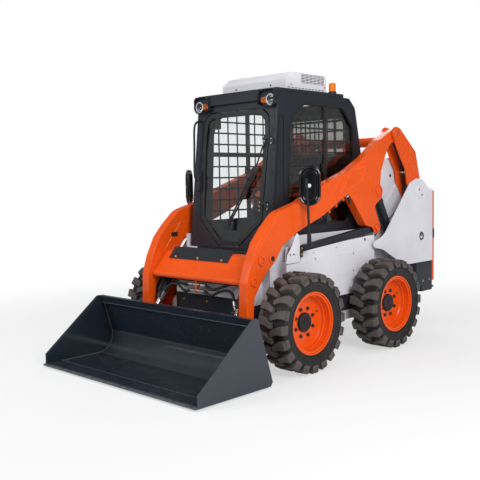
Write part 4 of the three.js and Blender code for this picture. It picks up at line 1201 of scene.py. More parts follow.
    def tailgate(self) -> None:
        """Builds the tailgate with its grille, lamps, latch and lower panel."""
        x0, x1, z0, z1 = self.grille
        y = self.gate_y
        recast("tailgate", "gate_leaf", ORANGE, "tailgate", 0.006)
        form = Form()
        form.sheet(rectangle(x0, x1, z0, z1, 0.03), "Y", 0, 0.002, 0.0006,
                   matrix=Matrix.Translation(at(0, y, 0)))
        outline = rectangle(x0, x1, z0, z1, 0.03)
        inside = rectangle(x0 + 0.02, x1 - 0.02, z0 + 0.02, z1 - 0.02, 0.02)
        form.sheet(outline, "Y", 0, 0.008, 0.002, inside, Matrix.Translation(at(0, y, 0)))
        count = 15
        for k in range(count):
            z = z0 + 0.034 + (z1 - z0 - 0.068) * k / (count - 1)
            form.block(at(x0 + 0.01, y + 0.001, z - 0.006), at(x1 - 0.01, y + 0.0075, z + 0.006), 0.0025)
        form.block(at(-0.012, y + 0.001, z0 + 0.01), at(0.012, y + 0.0085, z1 - 0.01), 0.002)
        form.place("gate_grille", BLACK, "tailgate")
        latch = Form().sheet(rectangle(0.455, 0.535, 0.83, 0.97, 0.01),
                             "Y", 0, 0.006, 0.002, matrix=Matrix.Translation(at(0, y, 0)))
        latch.block(at(0.475, y + 0.004, 0.865), at(0.515, y + 0.0105, 0.935), 0.003)
        for z in (1.24, 0.52):
            latch.block(at(-0.565, y - 0.002, z - 0.05), at(-0.5, y + 0.006, z + 0.05), 0.003)
        for s in (1, -1):
            latch.sheet(rectangle(s * 0.44, s * 0.535, 1.195, 1.27, 0.012), "Y", 0, 0.007, 0.002,
                        matrix=Matrix.Translation(at(0, y, 0)))
        latch.block(at(0.6395, 1.604, 0.855), at(0.646, 1.636, 0.945), 0.002)
        latch.place("gate_latch", BLACK, "tailgate")
        edge = Form().block(at(0.57, 1.598, 0.44), at(0.64, 1.64, 1.32), 0.004)
        edge.place("gate_edge", ORANGE, "tailgate")
        lens = Form()
        for s in (1, -1):
            low, high = sorted((s * 0.449, s * 0.526))
            lens.block(at(low, y + 0.004, 1.204), at(high, y + 0.0105, 1.261), 0.003)
        lens.place("tail_lamps", RED, "tailgate")
        plate = Form().block(at(-0.3, y, 0.49), at(0.3, y + 0.004, 0.66), 0.0015)
        for s in (1, -1):
            for z in (0.51, 0.64):
                plate.bolt(at(s * 0.28, y + 0.003, z), REARWARD, 0.006, washer=False)
        plate.place("gate_lower_panel", ORANGE, "tailgate")

    def build(self) -> None:
        """Builds the whole chassis."""
        self.frame()
        for side in Side:
            self.skins(side)
            self.tower(side)
        self.bumper()
        self.cover()
        self.tailgate()


# ---------------------------------------------------------------- lift gear


@dataclass
class LiftGear:
    """Lift arms, cross member, rear links, control links and their lines."""

    arm_x: float = 0.613
    top_pin: tuple[float, float] = (0.985, 1.847)
    link_x: float = 0.633
    hose_r: float = 0.0115

    def arm(self, side: Side) -> None:
        """Builds one lift arm with the bosses and pressed lines on its faces.

        Args:
            side: the side that it is built on.
        """
        recast(f"lift_arm_{side.word}", f"arm_box_{side.word}", ORANGE, "boom", 0.004)
        x = self.arm_x
        form = Form()
        for y, z, r in ((-0.835, 0.851, 0.036), (-0.92, 0.703, 0.036)):
            form.ring(at(x + 0.0055, y, z), LEFT, r, r * 0.62, 0.013)
            form.rod(at(x - 0.001, y, z), at(x + 0.008, y, z), r * 0.5)
        form.ring(at(x + 0.003, *STUB_PIN), LEFT, 0.034, 0.021, 0.008)
        form.ring(at(x + 0.003, *BUCKET_PIN), LEFT, 0.05, 0.022, 0.008)
        for (y, z), r in ((LIFT_EYE, 0.046), (LINK_PIN, 0.034)):
            form.ring(at(x + 0.006, y, z), LEFT, r, r * 0.74, 0.014)
            form.rod(at(x - 0.001, y, z), at(x + 0.0085, y, z), r * 0.66)
        lines = [
            [(0.319, 1.518), (0.119, 1.278)], [(0.319, 1.518), (0.534, 1.559), (0.46, 1.434), (0.23, 1.35)],
            [(0.57, 1.422), (0.59, 1.365), (0.587, 1.305)], [(-0.905, 0.86), (-0.8, 1.0), (-0.66, 1.145)],
        ]
        for line in lines:
            for a, b in zip(line, line[1:]):
                form.pipe([at(x - 0.0045, *a), at(x - 0.0045, *b)], 0.0105, 12)
        inner = ARM_INNER_X
        for a, b in (((-0.467, 1.101), (-0.628, 1.104)), ((-0.628, 1.104), (-0.791, 0.9))):
            form.pipe([at(inner + 0.002, *a), at(inner + 0.002, *b)], 0.0045, 8)
        form.weld([at(inner, -0.93, 0.735), at(inner, -0.8, 0.888), at(inner, -0.765, 0.9)])
        form.ring(at(inner, *TILT_BASE), LEFT, 0.052, 0.03, 0.012)
        form.on(side, "arm_bosses", ORANGE, "boom")
        dark = Form()
        dark.rod(at(x - 0.001, *STUB_PIN), at(x + 0.0055, *STUB_PIN), 0.0208)
        dark.block(at(inner - 0.012, -0.735, 0.985), at(inner + 0.001, -0.67, 1.02), 0.003)
        dark.on(side, "arm_plugs", BLACK, "boom")
        pins = Form()
        for y, z in (LIFT_EYE, LINK_PIN):
            pins.bolt(at(x + 0.0008, y, z), LEFT, 0.004, washer=False)
        for y, z in ((-0.58, 1.031), (-0.695, 1.105)):
            pins.bolt(at(inner, y, z), (-1, 0, 0), 0.006, washer=False)
        pins.rod(at(0.44, *TILT_BASE), at(0.431, *TILT_BASE), 0.02)
        pins.bolt(at(0.433, *TILT_BASE), (-1, 0, 0), 0.01)
        pins.on(side, "arm_pin_ends", BRASS, "boom")

    def cross(self) -> None:
        """Builds the cross member, the step on it and the rear cross tube."""
        recast("front_cross_member", "cross_box", ORANGE, "boom", 0.005)
        tube = Form().rod(at(-0.5275, 0.89, 1.778), at(0.5275, 0.89, 1.778), 0.045, sides=48)
        for s in (1, -1):
            tube.lathe([(0.044, 0), (0.056, 0), (0.052, 0.008), (0.045, 0.014)], at(s * 0.5275, 0.89, 1.778),
                       (-s, 0, 0), 48, closed=True)
        tube.place("cross_tube", ORANGE, "boom", ("rear_cross_tube",))
        recast("step_plate", "step_tread", CHARCOAL, "boom", 0.0015)
        run = Vector((0, 0.075, 0.091)).normalized()
        out = Vector((0, -run.z, run.y))
        grip = Form()
        for row in range(3):
            for k in range(15):
                spot = at(-0.385 + 0.0445 * k + 0.022 * (row % 2), -0.855,
                          0.814) + run * (0.034 + 0.032 * row) + out * 0.0062
                grip.rod(spot, spot + out * 0.003, 0.0095, 0.0065, 12, 0.0008)
        grip.place("step_grip", CHARCOAL, "boom")
        bolts = Form()
        for x in (-0.347, -0.079, 0.199):
            bolts.bolt(at(x, -0.855, 0.814) + run * 0.018 + out * 0.0062, out, 0.009)
        bolts.place("step_bolts", BRASS, "boom")

    def front_lines(self) -> None:
        """Builds the coupling block and the four hoses of the tilt cylinders."""
        block = Form()
        block.block(at(-0.067, -0.8935, 0.6), at(-0.043, -0.866, 0.77), 0.003)
        block.block(at(-0.062, -0.8935, 0.556), at(-0.048, -0.866, 0.604), 0.003)
        block.place("coupling_block", ORANGE, "boom")
        fittings = Form()
        for z, low, high in ((0.624, -0.14, 0.032), (0.573, -0.12, 0.014)):
            for k in range(4):
                x = low + (high - low) * (k + 0.5) / 4
                fittings.rod(at(x - 0.016, -0.88, z), at(x + 0.016, -0.88, z), 0.0185 if k % 2 else 0.015,
                             sides=6 if k % 2 else 28)
            for x, s in ((low, -1), (high, 1)):
                fittings.rod(at(x - s * 0.024, -0.88, z), at(x, -0.88, z), 0.0165, sides=6)
                fittings.rod(at(x, -0.88, z), at(x + s * 0.018, -0.88, z), 0.0135, sides=24)
        fittings.place("hose_couplings", ZINC, "boom")
        lanes = {
            "upper_right": (Side.RIGHT, [(-0.15, -0.88, 0.624), (-0.203, -0.88, 0.612),
                    (-0.317, -0.878, 0.638),
                                         (-0.385, -0.845, 0.7), (-0.43, -0.797, 0.752)]),
            "lower_right": (Side.RIGHT, [(-0.13, -0.88, 0.573), (-0.2, -0.884, 0.56), (-0.29, -0.89, 0.61),
                                         (-0.36, -0.905, 0.6), (-0.402, -0.922, 0.552),
                                         (-0.426, -0.936, 0.5)]),
            "upper_left": (Side.LEFT, [(0.04, -0.88, 0.622), (0.12, -0.88, 0.596), (0.215, -0.88, 0.62),
                                       (0.31, -0.872, 0.652), (0.385, -0.838, 0.706), (0.43, -0.797, 0.752)]),
            "lower_left": (Side.LEFT, [(0.024, -0.88, 0.573), (0.11, -0.884, 0.549), (0.215, -0.888, 0.59),
                                       (0.3, -0.892, 0.606), (0.368, -0.905, 0.586), (0.402, -0.922, 0.545),
                                       (0.426, -0.936, 0.5)]),
        }
        replaced = ("front_hoses",)
        for name, (side, lane) in lanes.items():
            path = [at(*p) for p in lane]
            hose = Form().pipe(path, self.hose_r, 16)
            hose.rod(path[0], path[0].lerp(path[1], 0.4), self.hose_r * 1.18, sides=20)
            piece = hose.place(f"hose_{name}", HOSE, "boom", replaced, weigh=False)
            replaced = ()
            self.bend(piece, side, path)
            tip = path[-1] + (path[-1] - path[-2]).normalized() * 0.03
            ferrule = Form().rod(path[-1].lerp(path[-2], 0.75), path[-1], self.hose_r * 1.25, sides=20)
            ferrule.rod(path[-1], tip, self.hose_r * 1.3, sides=6)
            ferrule.place(f"ferrule_{name}", ZINC, f"tilt_barrel_{side.word}")

    @staticmethod
    def bend(piece: bpy.types.Object, side: Side, path: Sequence[Vector]) -> None:
        """Takes a hose off the boom and leaves it fixed where it was built, in the row frame.

        Args:
            piece: the hose.
            side: not used.
            path: not used.
        """
        piece.parent = None
        piece.matrix_world = Matrix.Identity(4)
        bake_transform(piece)

    def arm_lines(self, side: Side) -> None:
        """Builds the steel line under one arm, with clamps and an elbow.

        Args:
            side: the side that it is built on.
        """
        x = self.arm_x - 0.014
        path = [at(x, -0.055, 1.148), at(x, 0.105, 1.2255), at(x, 0.267, 1.304)]
        line = Form().pipe(path, 0.0075, 16)
        line.rod(path[0], path[0] + (path[0] - path[1]).normalized() * 0.012, 0.0105, sides=6)
        line.on(side, "arm_line", CHARCOAL, "boom", (f"arm_pipe_{side.word}",))
        elbow = Form().pipe([path[2], at(x, 0.288, 1.29), at(x - 0.004, 0.306, 1.266),
                             at(x - 0.008, 0.318, 1.24)], 0.0105, 16)
        elbow.on(side, "arm_elbow", HOSE, "boom", weigh=False)
        steel = Form().rod(path[2].lerp(path[1], 0.16), path[2], 0.0118, sides=6)
        steel.rod(path[2], path[2] + Vector((0, 0.008, -0.003)), 0.0128, sides=24)
        steel.on(side, "arm_union", CHROME, "boom")
        clamps = Form()
        for t in (0.2, 0.5, 0.8):
            p = path[0].lerp(path[2], t)
            clamps.block(p + Vector((-0.012, -0.01, -0.0098)), p + Vector((0.012, 0.01, 0.014)), 0.002)
        clamps.on(side, "arm_clamps", ORANGE, "boom")

    def links(self, side: Side) -> None:
        """Builds one rear link, its hoses and the control link ahead of it.

        Args:
            side: the side that it is built on.
        """
        body = f"rear_link_{side.word}"
        recast(body, f"link_plates_{side.word}", ORANGE, body, 0.0025, 0.0003)
        x = self.link_x
        form = Form()
        form.ring(at(x + 0.003, 1.151, 1.749), LEFT, 0.038, 0.026, 0.01)
        form.rod(at(x - 0.001, 1.151, 1.749), at(x + 0.004, 1.151, 1.749), 0.027)
        form.ring(at(x + 0.0045, *self.top_pin), LEFT, 0.06, 0.036, 0.012)
        form.on(side, "link_bosses", ORANGE, body)
        pins = Form().bolt(at(x + 0.008, *self.top_pin), LEFT, 0.01)
        pins.on(side, "link_pin_bolts", ZINC, body)
        lane = [(1.062, 1.764), (1.112, 1.69), (1.165, 1.6), (1.205, 1.5), (1.228, 1.4), (1.236, 1.3)]
        hoses = Form()
        for offset in (-0.018, 0.018):
            hoses.pipe([at(0.5705 + offset, y, z) for y, z in lane], self.hose_r, 16)
        hoses.on(side, "link_lines", HOSE, body, (f"link_hoses_{side.word}",), weigh=False)
        clip = Form().block(at(0.5225, 1.19, 1.49), at(0.6185, 1.222, 1.508), 0.003)
        clip.bolt(at(0.5705, 1.19, 1.499), FORWARD, 0.006)
        clip.on(side, "link_clip", ZINC, body)
        body = f"control_link_{side.word}"
        recast(body, f"control_bar_{side.word}", CHARCOAL, body, 0.004)

    def build(self) -> None:
        """Builds the whole lift gear."""
        for side in Side:
            self.arm(side)
            self.arm_lines(side)
            self.links(side)
        self.cross()
        self.front_lines()


@dataclass
class Cylinder:
    """A hydraulic cylinder: welded barrel, gland, chromed rod and two eyes."""

    kind: str
    side: Side
    x: float
    base: tuple[float, float]
    eye: tuple[float, float]
    bore: float
    rod_r: float
    eye_r: float
    eye_t: float
    pin_r: float
    length: float
    blind: float
    rod_start: float

    def lines(self) -> tuple[Vector, Vector, float]:
        """Returns the base, the direction to the rod eye and the reach."""
        a, b = at(self.x, *self.base), at(self.x, *self.eye)
        return a, (b - a).normalized(), (b - a).length

    def build(self) -> None:
        """Builds the cylinder on its two bodies."""
        a, way, reach = self.lines()
        tag = f"{self.kind}_{self.side.word}"
        barrel, rod = f"{self.kind}_barrel_{self.side.word}", f"{self.kind}_rod_{self.side.word}"
        n, r, length, hole = self.bore, self.rod_r, self.length, self.rod_r + 0.0012
        start = self.eye_r * 0.8
        tube = Form().lathe([
            (0, start), (n * 0.8, start), (n - 0.003, start + 0.008), (n - 0.003, start + 0.026),
                             (n, start + 0.03),
            (n, length - 0.04), (n + 0.0028, length - 0.036), (n + 0.0028, length - 0.004), (n, length),
            (hole + 0.006, length), (hole, length - 0.004), (hole, self.blind), (0, self.blind),
        ], a, way, 56)
        tube.ring(a, LEFT, self.eye_r, self.pin_r + 0.0006, self.eye_t, 48)
        up = Vector((0, -way.z, way.y))
        up = up if up.y < 0 else -up
        lean = up * n
        near, far = a + way * (start + 0.045) + lean, a + way * (length - 0.062) + lean
        for spot in (near, far):
            tube.rod(spot - up * 0.006, spot + up * 0.01, 0.013, sides=24)
        tube.flip(self.side).place(f"{tag}_tube", CHARCOAL, barrel, (barrel,))
        feed = Form().pipe([far + up * 0.008, far + up * 0.016 - way * 0.02, near + up * 0.016 + way * 0.06],
                           0.0055, 12)
        feed.flip(self.side).place(f"{tag}_feed_line", CHARCOAL, barrel)
        wiper = Form().ring(a + way * (length + 0.0005), way, hole + 0.0058, hole - 0.0002, 0.004, 40)
        wiper.flip(self.side).place(f"{tag}_rod_seal", SEAL, barrel)
        shaft = Form().lathe([
            (0, self.rod_start), (r - 0.002, self.rod_start), (r, self.rod_start + 0.002),
            (r, reach - self.eye_r - 0.004), (r * 0.9, reach - self.eye_r * 0.6),
                              (0, reach - self.eye_r * 0.6),
        ], a, way, 48)
        shaft.flip(self.side).place(f"{tag}_shaft", CHROME, rod, (rod,))
        eye = Form().ring(a + way * reach, LEFT, self.eye_r, self.pin_r + 0.0006, self.eye_t, 48)
        eye.lathe([(r + 0.0002, 0), (r + 0.004, 0.002), (r + 0.004, self.eye_r * 0.5),
                   (r + 0.0002, self.eye_r * 0.5)],
                  a + way * (reach - self.eye_r - 0.006), way, 40, closed=True)
        eye.flip(self.side).place(f"{tag}_rod_eye", CHARCOAL, rod)


# ---------------------------------------------------------------- bucket


@dataclass
class Bucket:
    """The bucket with its welds, and the carrier that holds it."""

    half: float = 0.91
    cheek: float = 0.012
    edge_y: float = -1.801
    heel: float = -1.056
    slope: float = -0.28743

    def back(self, z: float) -> float:
        """Returns the outer face of the back sheet at a height."""
        return self.heel + self.slope * z

    def build(self) -> None:
        """Builds the bucket and its carrier."""
        recast("bucket", "bucket_shell", BUCKET, "bucket_tool", 0.0018)
        x = self.half - self.cheek - 0.001
        floor, radius, centre = 0.0096, 0.151, (-1.268, 0.1606)
        bend = [(centre[0] + radius * math.sin(math.radians(a)),
                 centre[1] - radius * math.cos(math.radians(a)))
                for a in range(0, 107, 6)]
        corner = (self.heel - 0.0094 - 0.003, floor)
        Form().sheet(seen([*bend, corner]), "X", -x, x, 0).place(
            "bucket_liner", BUCKET, "bucket_tool", weigh=False)
        welds = Form()
        for s in (1, -1):
            path = [(self.edge_y + 0.17, floor), *bend, (self.back(0.43) - 0.012, 0.43)]
            welds.weld([at(s * x, y, z) for y, z in path], 0.005, 0.0095)
        welds.weld([at(-x, self.edge_y + 0.1615, 0.0125), at(x, self.edge_y + 0.1615, 0.0125)], 0.0055,
                   0.0105)
        welds.place("bucket_welds", WELD, "bucket_tool")
        lip = Form()
        lip.pipe([at(-0.895, self.back(0.441) - 0.037, 0.441), at(0.895, self.back(0.441) - 0.037, 0.441)],
                 0.005, 12)
        lip.place("bucket_lip_bead", BUCKET, "bucket_tool")
        recast("bucket_carrier", "carrier_weldment", CHARCOAL, "bucket_tool", 0.003)
        pins = Form()
        for s in (1, -1):
            end = at(s * 0.635, *BUCKET_PIN)
            pins.rod(end, end + Vector((s * 0.01, 0, 0)), 0.029)
            pins.bolt(end + Vector((s * 0.01, 0, 0)), (s, 0, 0), 0.011)
            eye = at(s * 0.504, BUCKET_PIN[0] + 0.14 * math.cos(math.radians(95)),
                     BUCKET_PIN[1] + 0.14 * math.sin(math.radians(95)))
            pins.bolt(eye, (s, 0, 0), 0.01)
        pins.place("carrier_pin_ends", ZINC, "bucket_tool")
        lever = Form()
        for s in (1, -1):
            low, high = sorted((s * 0.295, s * 0.365))
            rear = [(self.back(z) + off, z) for z,
                    off in ((0.14, 0.018), (0.14, 0.04), (0.37, 0.04), (0.37, 0.018))]
            lever.sheet(seen(rear), "X", low, high, 0.003)
            foot = at(s * 0.33, self.back(0.36) + 0.038, 0.34)
            lever.pipe([foot, foot + Vector((0, 0.01, 0.05)), foot + Vector((s * 0.015, 0.0, 0.13))], 0.009,
                       14)
        lever.place("carrier_latches", CHARCOAL, "bucket_tool")


# ---------------------------------------------------------------- cab


@dataclass
class Cab:
    """The cab shell with its glass, screens, door, roof gear and trim."""

    half: float = 0.46
    window: Outline = field(default_factory=lambda: [
        [-0.345, 1.075, 0.02], [-0.3, 1.851, 0.0], [-0.268, 1.95, 0.03], [-0.12, 2.066, 0.04],
        [0.4, 2.066, 0.04], [0.552, 1.9, 0.04], [0.572, 1.56, 0.0], [0.572, 1.19, 0.03], [0.44, 1.075, 0.03]])
    mesh_pitch: tuple[float, float] = (0.1175, 0.099)
    mesh_bar: float = 0.01

    def shell(self) -> None:
        """Builds the welded panels."""
        for name in ("cab_side_left", "cab_side_right", "cab_front_frame", "cab_rear_panel"):
            recast(name, name.replace("cab_", "cab_panel_"), CHARCOAL, "chassis", 0.004)
        for name in ("side_window_right", "door_glass"):
            dress(name, GLASS)
        dress("side_window_left", SMOKED)
        dress("rear_window", SMOKED)

    def grid(self, axis: str, low: Point, high: Point, level: float, cuts: Outline, name: str) -> None:
        """Builds a punched steel screen.

        Args:
            axis: the axis through the screen, "X" or "Y".
            low: lowest corner across the screen, in its two other axes.
            high: highest corner.
            level: where the screen stands along the axis.
            cuts: convex outline that trims it.
            name: the piece's name.
        """
        part = bmesh.new()
        wide, tall = high[0] - low[0], high[1] - low[1]
        nx, nz = round(wide / self.mesh_pitch[0]), round(tall / self.mesh_pitch[1])
        bmesh.ops.create_grid(part, x_segments=nx, y_segments=nz, size=0.5)
        bmesh.ops.scale(part, vec=(wide, tall, 1), verts=part.verts)
        bmesh.ops.translate(part, vec=((low[0] + high[0]) / 2, (low[1] + high[1]) / 2, 0), verts=part.verts)
        kept = bmesh.ops.inset_individual(part, faces=part.faces[:], thickness=self.mesh_bar)["faces"]
        kept = set(kept)
        inner = [f for f in part.faces if f not in kept]
        small = inner if len(inner) < len(kept) else list(kept)
        bmesh.ops.delete(part, geom=small, context="FACES")
        points = [Vector((p[0], p[1], 0)) for p in cuts]
        middle_point = sum(points, Vector()) / len(points)
        for a, b in zip(points, points[1:] + points[:1]):
            out = Vector((b.y - a.y, a.x - b.x, 0)).normalized()
            out = out if out.dot(a - middle_point) > 0 else -out
            bmesh.ops.bisect_plane(part, geom=part.verts[:] + part.edges[:] + part.faces[:], plane_co=a,
                                   plane_no=out, clear_outer=True)
        made = bmesh.ops.extrude_face_region(part, geom=part.faces[:])["geom"]
        bmesh.ops.translate(part, vec=(0, 0, 0.004),
                            verts=[v for v in made if isinstance(v, bmesh.types.BMVert)])
        bmesh.ops.recalc_face_normals(part, faces=part.faces)
        upright = [e for e in part.edges if abs((e.verts[0].co - e.verts[1].co).normalized().z) > 0.9
                   and len(e.link_faces) == 2 and 1.4 < e.calc_face_angle(0) < 1.7]
        bmesh.ops.bevel(part, geom=upright, offset=0.016, offset_type="OFFSET", segments=3, profile=0.5,
                        affect="EDGES", material=-1, clamp_overlap=True)
        if axis == "X":
            turn = Matrix(((0, 0, 1, level), (1, 0, 0, 0), (0, 1, 0, 0), (0, 0, 0, 1)))
        else:
            turn = Matrix(((1, 0, 0, 0), (0, 0, 1, level), (0, 1, 0, 0), (0, 0, 0, 1)))
        form = Form().take(part, turn)
        bmesh.ops.recalc_face_normals(form.mesh, faces=form.mesh.faces)
        form.place(name, CHARCOAL, "chassis")

    def side(self, side: Side) -> None:
        """Builds one window's seal, sliding sash and punched screen.

        Args:
            side: the side that it is built on.
        """
        edge = seen(self.window)
        seal = Form().sheet(rounded(grown(edge, 0.01)), "X", self.half - 0.02, self.half + 0.003, 0.002,
                            rounded(grown(edge, -0.007)))
        seal.on(side, "window_seal", SEAL, "chassis")
        ys, zs = [p[0] for p in edge], [p[1] for p in edge]
        level = 0.4195 if side is Side.LEFT else -0.4235
        self.grid("X", (min(ys) - 0.012, min(zs) + 0.01), (max(ys) + 0.01, max(zs) + 0.006), level,
                  [p[:2] for p in grown(edge, 0.004)], f"window_screen_{side.word}")
        sash = Form()
        y = 0.165 + DATUM.y
        sash.block((0.4425, y - 0.019, 1.075 + 0.016), (0.4505, y + 0.019, 2.066 + 0.006), 0.002)
        sash.block((0.4425, -0.325 + DATUM.y, 1.075 + 0.014), (0.4505, y, 1.105 + 0.014), 0.002)
        sash.block((0.4495, y - 0.045, 1.52), (0.4575, y - 0.025, 1.6), 0.002)
        if side is Side.RIGHT:
            sash.block((0.4165, -0.33 + DATUM.y, 1.665 + DATUM.z), (0.4225, 0.555 + DATUM.y, 1.705 + DATUM.z),
                       0.002)
        sash.on(side, "window_sash", BLACK, "chassis")
        bolts = Form()
        for by, bz in ((-0.43, 1.02), (-0.4, 1.6), (0.05, 0.96), (0.45, 0.96), (0.64, 1.2), (0.64, 1.55)):
            bolts.bolt(at(self.half, by, bz), LEFT, 0.007)
        bolts.on(side, "cab_bolts", BLACK, "chassis")
        rib = seen([(-0.432, 1.975, 0.025), (-0.372, 1.975, 0.025), (-0.398, 1.02, 0.02),
                    (-0.528, 1.02, 0.02)])
        pillar = Form().sheet(rounded(rib), "X", self.half - 0.001, self.half + 0.0045, 0.0015,
                              rounded(grown(rib, -0.011)))
        pillar.on(side, "pillar_rib", CHARCOAL, "chassis")
        rail = Form().pipe([
            at(self.half - 0.055, -0.462, 1.97), at(self.half - 0.05, -0.518, 1.955),
                            at(self.half - 0.045, -0.54, 1.9),
            at(self.half - 0.045, -0.545, 1.73), at(self.half - 0.045, -0.55, 1.56),
                            at(self.half - 0.05, -0.543, 1.47),
            at(self.half - 0.055, -0.5, 1.445)], 0.0095, 16)
        if side is Side.RIGHT:
            rail.flip(side).place("grab_rail_right", BLACK, "chassis", weigh=False)

    def door(self) -> None:
        """Builds the door's frame, seal, handle and wiper."""
        recast("cab_door", "door_frame", BLACK, "cab_door", 0.003)
        turn = Matrix.Translation(cab_front(0, 0, 0)) @ Matrix.Rotation(-LEAN, 4, "X")

        def on(x: float, y: float, z: float) -> Vector:
            """Returns a point of the upright door, leaned back with it."""
            return turn @ Vector((x, y, z))

        side = [(0.118, 0.022, 0.012), (0.358, 0.232, 0.03), (0.386, 0.93, 0.2), (0.37, 1.076, 0.07),
                (0.296, 1.136, 0.06)]
        outline = side + [(-x, z, r) for x, z, r in reversed(side)]
        seal = Form().sheet(rounded(grown(outline, -0.03)), "Y", 0.002, 0.013, 0.002,
                            rounded(grown(outline, -0.044)), turn)
        seal.place("door_glass_seal", SEAL, "cab_door")
        handle = Form().block((-0.379, -0.013, 0.46), (-0.357, 0.002, 0.63), 0.004, turn)
        handle.pipe([on(*p) for p in ((-0.368, -0.01, 0.47), (-0.368, -0.032, 0.485), (-0.368, -0.034, 0.545),
                                                 (-0.368, -0.032, 0.6), (-0.368, -0.01, 0.615))], 0.008, 14)
        handle.rod(on(-0.368, -0.013, 0.64), on(-0.368, 0.0, 0.64), 0.014)
        handle.place("door_handle", BLACK, "cab_door")
        wiper = Form().rod(on(0.0, -0.022, 0.185), on(0.0, 0.012, 0.185), 0.02)
        wiper.block((-0.055, -0.016, 0.15), (0.055, 0.012, 0.215), 0.006, turn)
        for x, z in ((0.245, 0.655), (0.3, 0.64)):
            wiper.pipe([on(0.012 if x > 0.26 else -0.008, -0.018, 0.19), on(x * 0.55, -0.017, 0.43),
                        on(x, -0.014, z)], 0.0072, 12)
        wiper.pipe([on(0.15, -0.006, 0.42), on(0.262, -0.008, 0.64),
                    on(0.345, -0.006, 0.86)], 0.0065, 12)
        wiper.block((0.235, -0.016, 0.628), (0.305, -0.008, 0.66), 0.002, turn)
        wiper.place("door_wiper", BLACK, "cab_door")
        bolts = Form()
        for z in (0.33, 0.85):
            for dz in (-0.012, 0.021, 0.054):
                bolts.bolt(on(0.352, -0.022, z + dz), FORWARD, 0.007, washer=False)
        bolts.place("door_hinge_bolts", ZINC, "cab_door")
        frame_bolts = Form()
        for z in (0.33, 0.366, 0.85, 0.886):
            frame_bolts.bolt(on(0.436, -0.022, z), FORWARD, 0.0065, washer=False)
        frame_bolts.place("cab_hinge_bolts", ZINC, "chassis")
        pillar = Form()
        for s in (1, -1):
            groove = rectangle(s * 0.41, s * 0.436, 1.0, 1.12, 0.012)
            pillar.sheet(groove, "Y", -0.002, 0.004, 0.001, matrix=turn)
            for z in (0.1, 0.4, 0.62, 0.8, 0.96):
                pillar.bolt(on(s * 0.445, -0.0005, z), FORWARD, 0.006)
        pillar.place("pillar_bolts", BLACK, "chassis")

    def rear(self) -> None:
        """Builds the rear window's seal and screen."""
        y = 0.7 + DATUM.y
        outline = [(-0.33, 1.672, 0.03), (0.33, 1.672, 0.03), (0.33, 2.002, 0.03), (-0.33, 2.002, 0.03)]
        seal = Form().sheet(rounded(grown(outline, -0.002)), "Y", 0.638 + DATUM.y, 0.652 + DATUM.y, 0.002,
                            rounded(grown(outline, -0.022)))
        seal.place("rear_window_seal", SEAL, "chassis")
        self.grid("Y", (-0.335, 1.667), (0.335, 2.007), y - 0.11, [p[:2] for p in outline],
                  "rear_window_screen")
        bolts = Form()
        for s in (1, -1):
            for z in (1.1, 1.35):
                bolts.bolt(at(s * 0.38, 0.7005, z), REARWARD, 0.008)
        bolts.place("cab_rear_bolts", BLACK, "chassis")

    def roof(self) -> None:
        """Builds the roof, its visor, the air unit, the lamps and the beacon."""
        recast("cab_roof", "roof_cap", CHARCOAL, "chassis", 0.006)
        recast("ac_unit", "air_unit", WHITE, "chassis", 0.006)
        dark, fins, screws = Form(), Form(), Form()
        for s in (1, -1):
            x = s * 0.368
            low, high = sorted((x - s * 0.001, x + s * 0.001))
            dark.block(at(low, -0.045, 2.25), at(high, 0.262, 2.327), 0.0004)
            for k in range(6):
                z = 2.2525 + 0.0126 * k
                low, high = sorted((x - s * 0.001, x + s * 0.004))
                fins.block(at(low, -0.049, z), at(high, 0.266, z + 0.0068), 0.0015)
            for k in range(7):
                y = -0.047 + 0.0525 * k
                fins.block(at(low, y - 0.003, 2.249), at(high, y + 0.003, 2.328), 0.001)
            for k in range(11):
                y = -0.2 + 0.0445 * k
                low, high = sorted((x - s * 0.001, x + s * 0.0008))
                dark.block(at(low, y - 0.014, 2.2025), at(high, y + 0.014, 2.2085), 0.0004)
            for y in (-0.17, 0.27):
                screws.bolt(at(x, y, 2.232), (s, 0, 0), 0.0055)
        for x in (-0.2, 0.2):
            dark.rod(at(x, -0.2345, 2.232), at(x, -0.2365, 2.232), 0.008)
        for k in range(9):
            y = 0.02 + 0.025 * k
            fins.block(at(-0.22, y, 2.3375), at(0.22, y + 0.01, 2.34), 0.0008)
        dark.place("air_vents", BLACK, "chassis")
        fins.place("air_fins", WHITE, "chassis")
        for x in (-0.3, 0.0, 0.3):
            screws.bolt(at(x, -0.2355, 2.205), FORWARD, 0.0055)
        screws.place("air_screws", ZINC, "chassis")
        visor = Form()
        for x in (-0.22, 0.015, 0.22):
            visor.bolt(at(x, -0.446, 2.105), FORWARD, 0.008)
        visor.place("visor_bolts", BRASS, "chassis")
        for side in Side:
            self.lamp(side)
        base = Form().lathe([(0, 0.0003), (0.036, 0.0003), (0.036, 0.014), (0.033, 0.02), (0.0305, 0.022),
                             (0, 0.022)],
                            at(0.39, 0.352, 2.182), UP, 40)
        base.place("beacon_base", BLACK, "chassis")
        dome = [(0, 0.0215), (0.0298, 0.0215)]
        for k in range(9):
            z = 0.024 + 0.0065 * k
            dome += [(0.0298, z), (0.0284, z + 0.0032)]
        dome += [(0.0292, 0.086), (0.0265, 0.0945), (0.018, 0.099), (0, 0.0998)]
        Form().lathe(dome, at(0.39, 0.352, 2.182), UP, 40).place(
            "beacon_dome", AMBER, "chassis", ("beacon",))

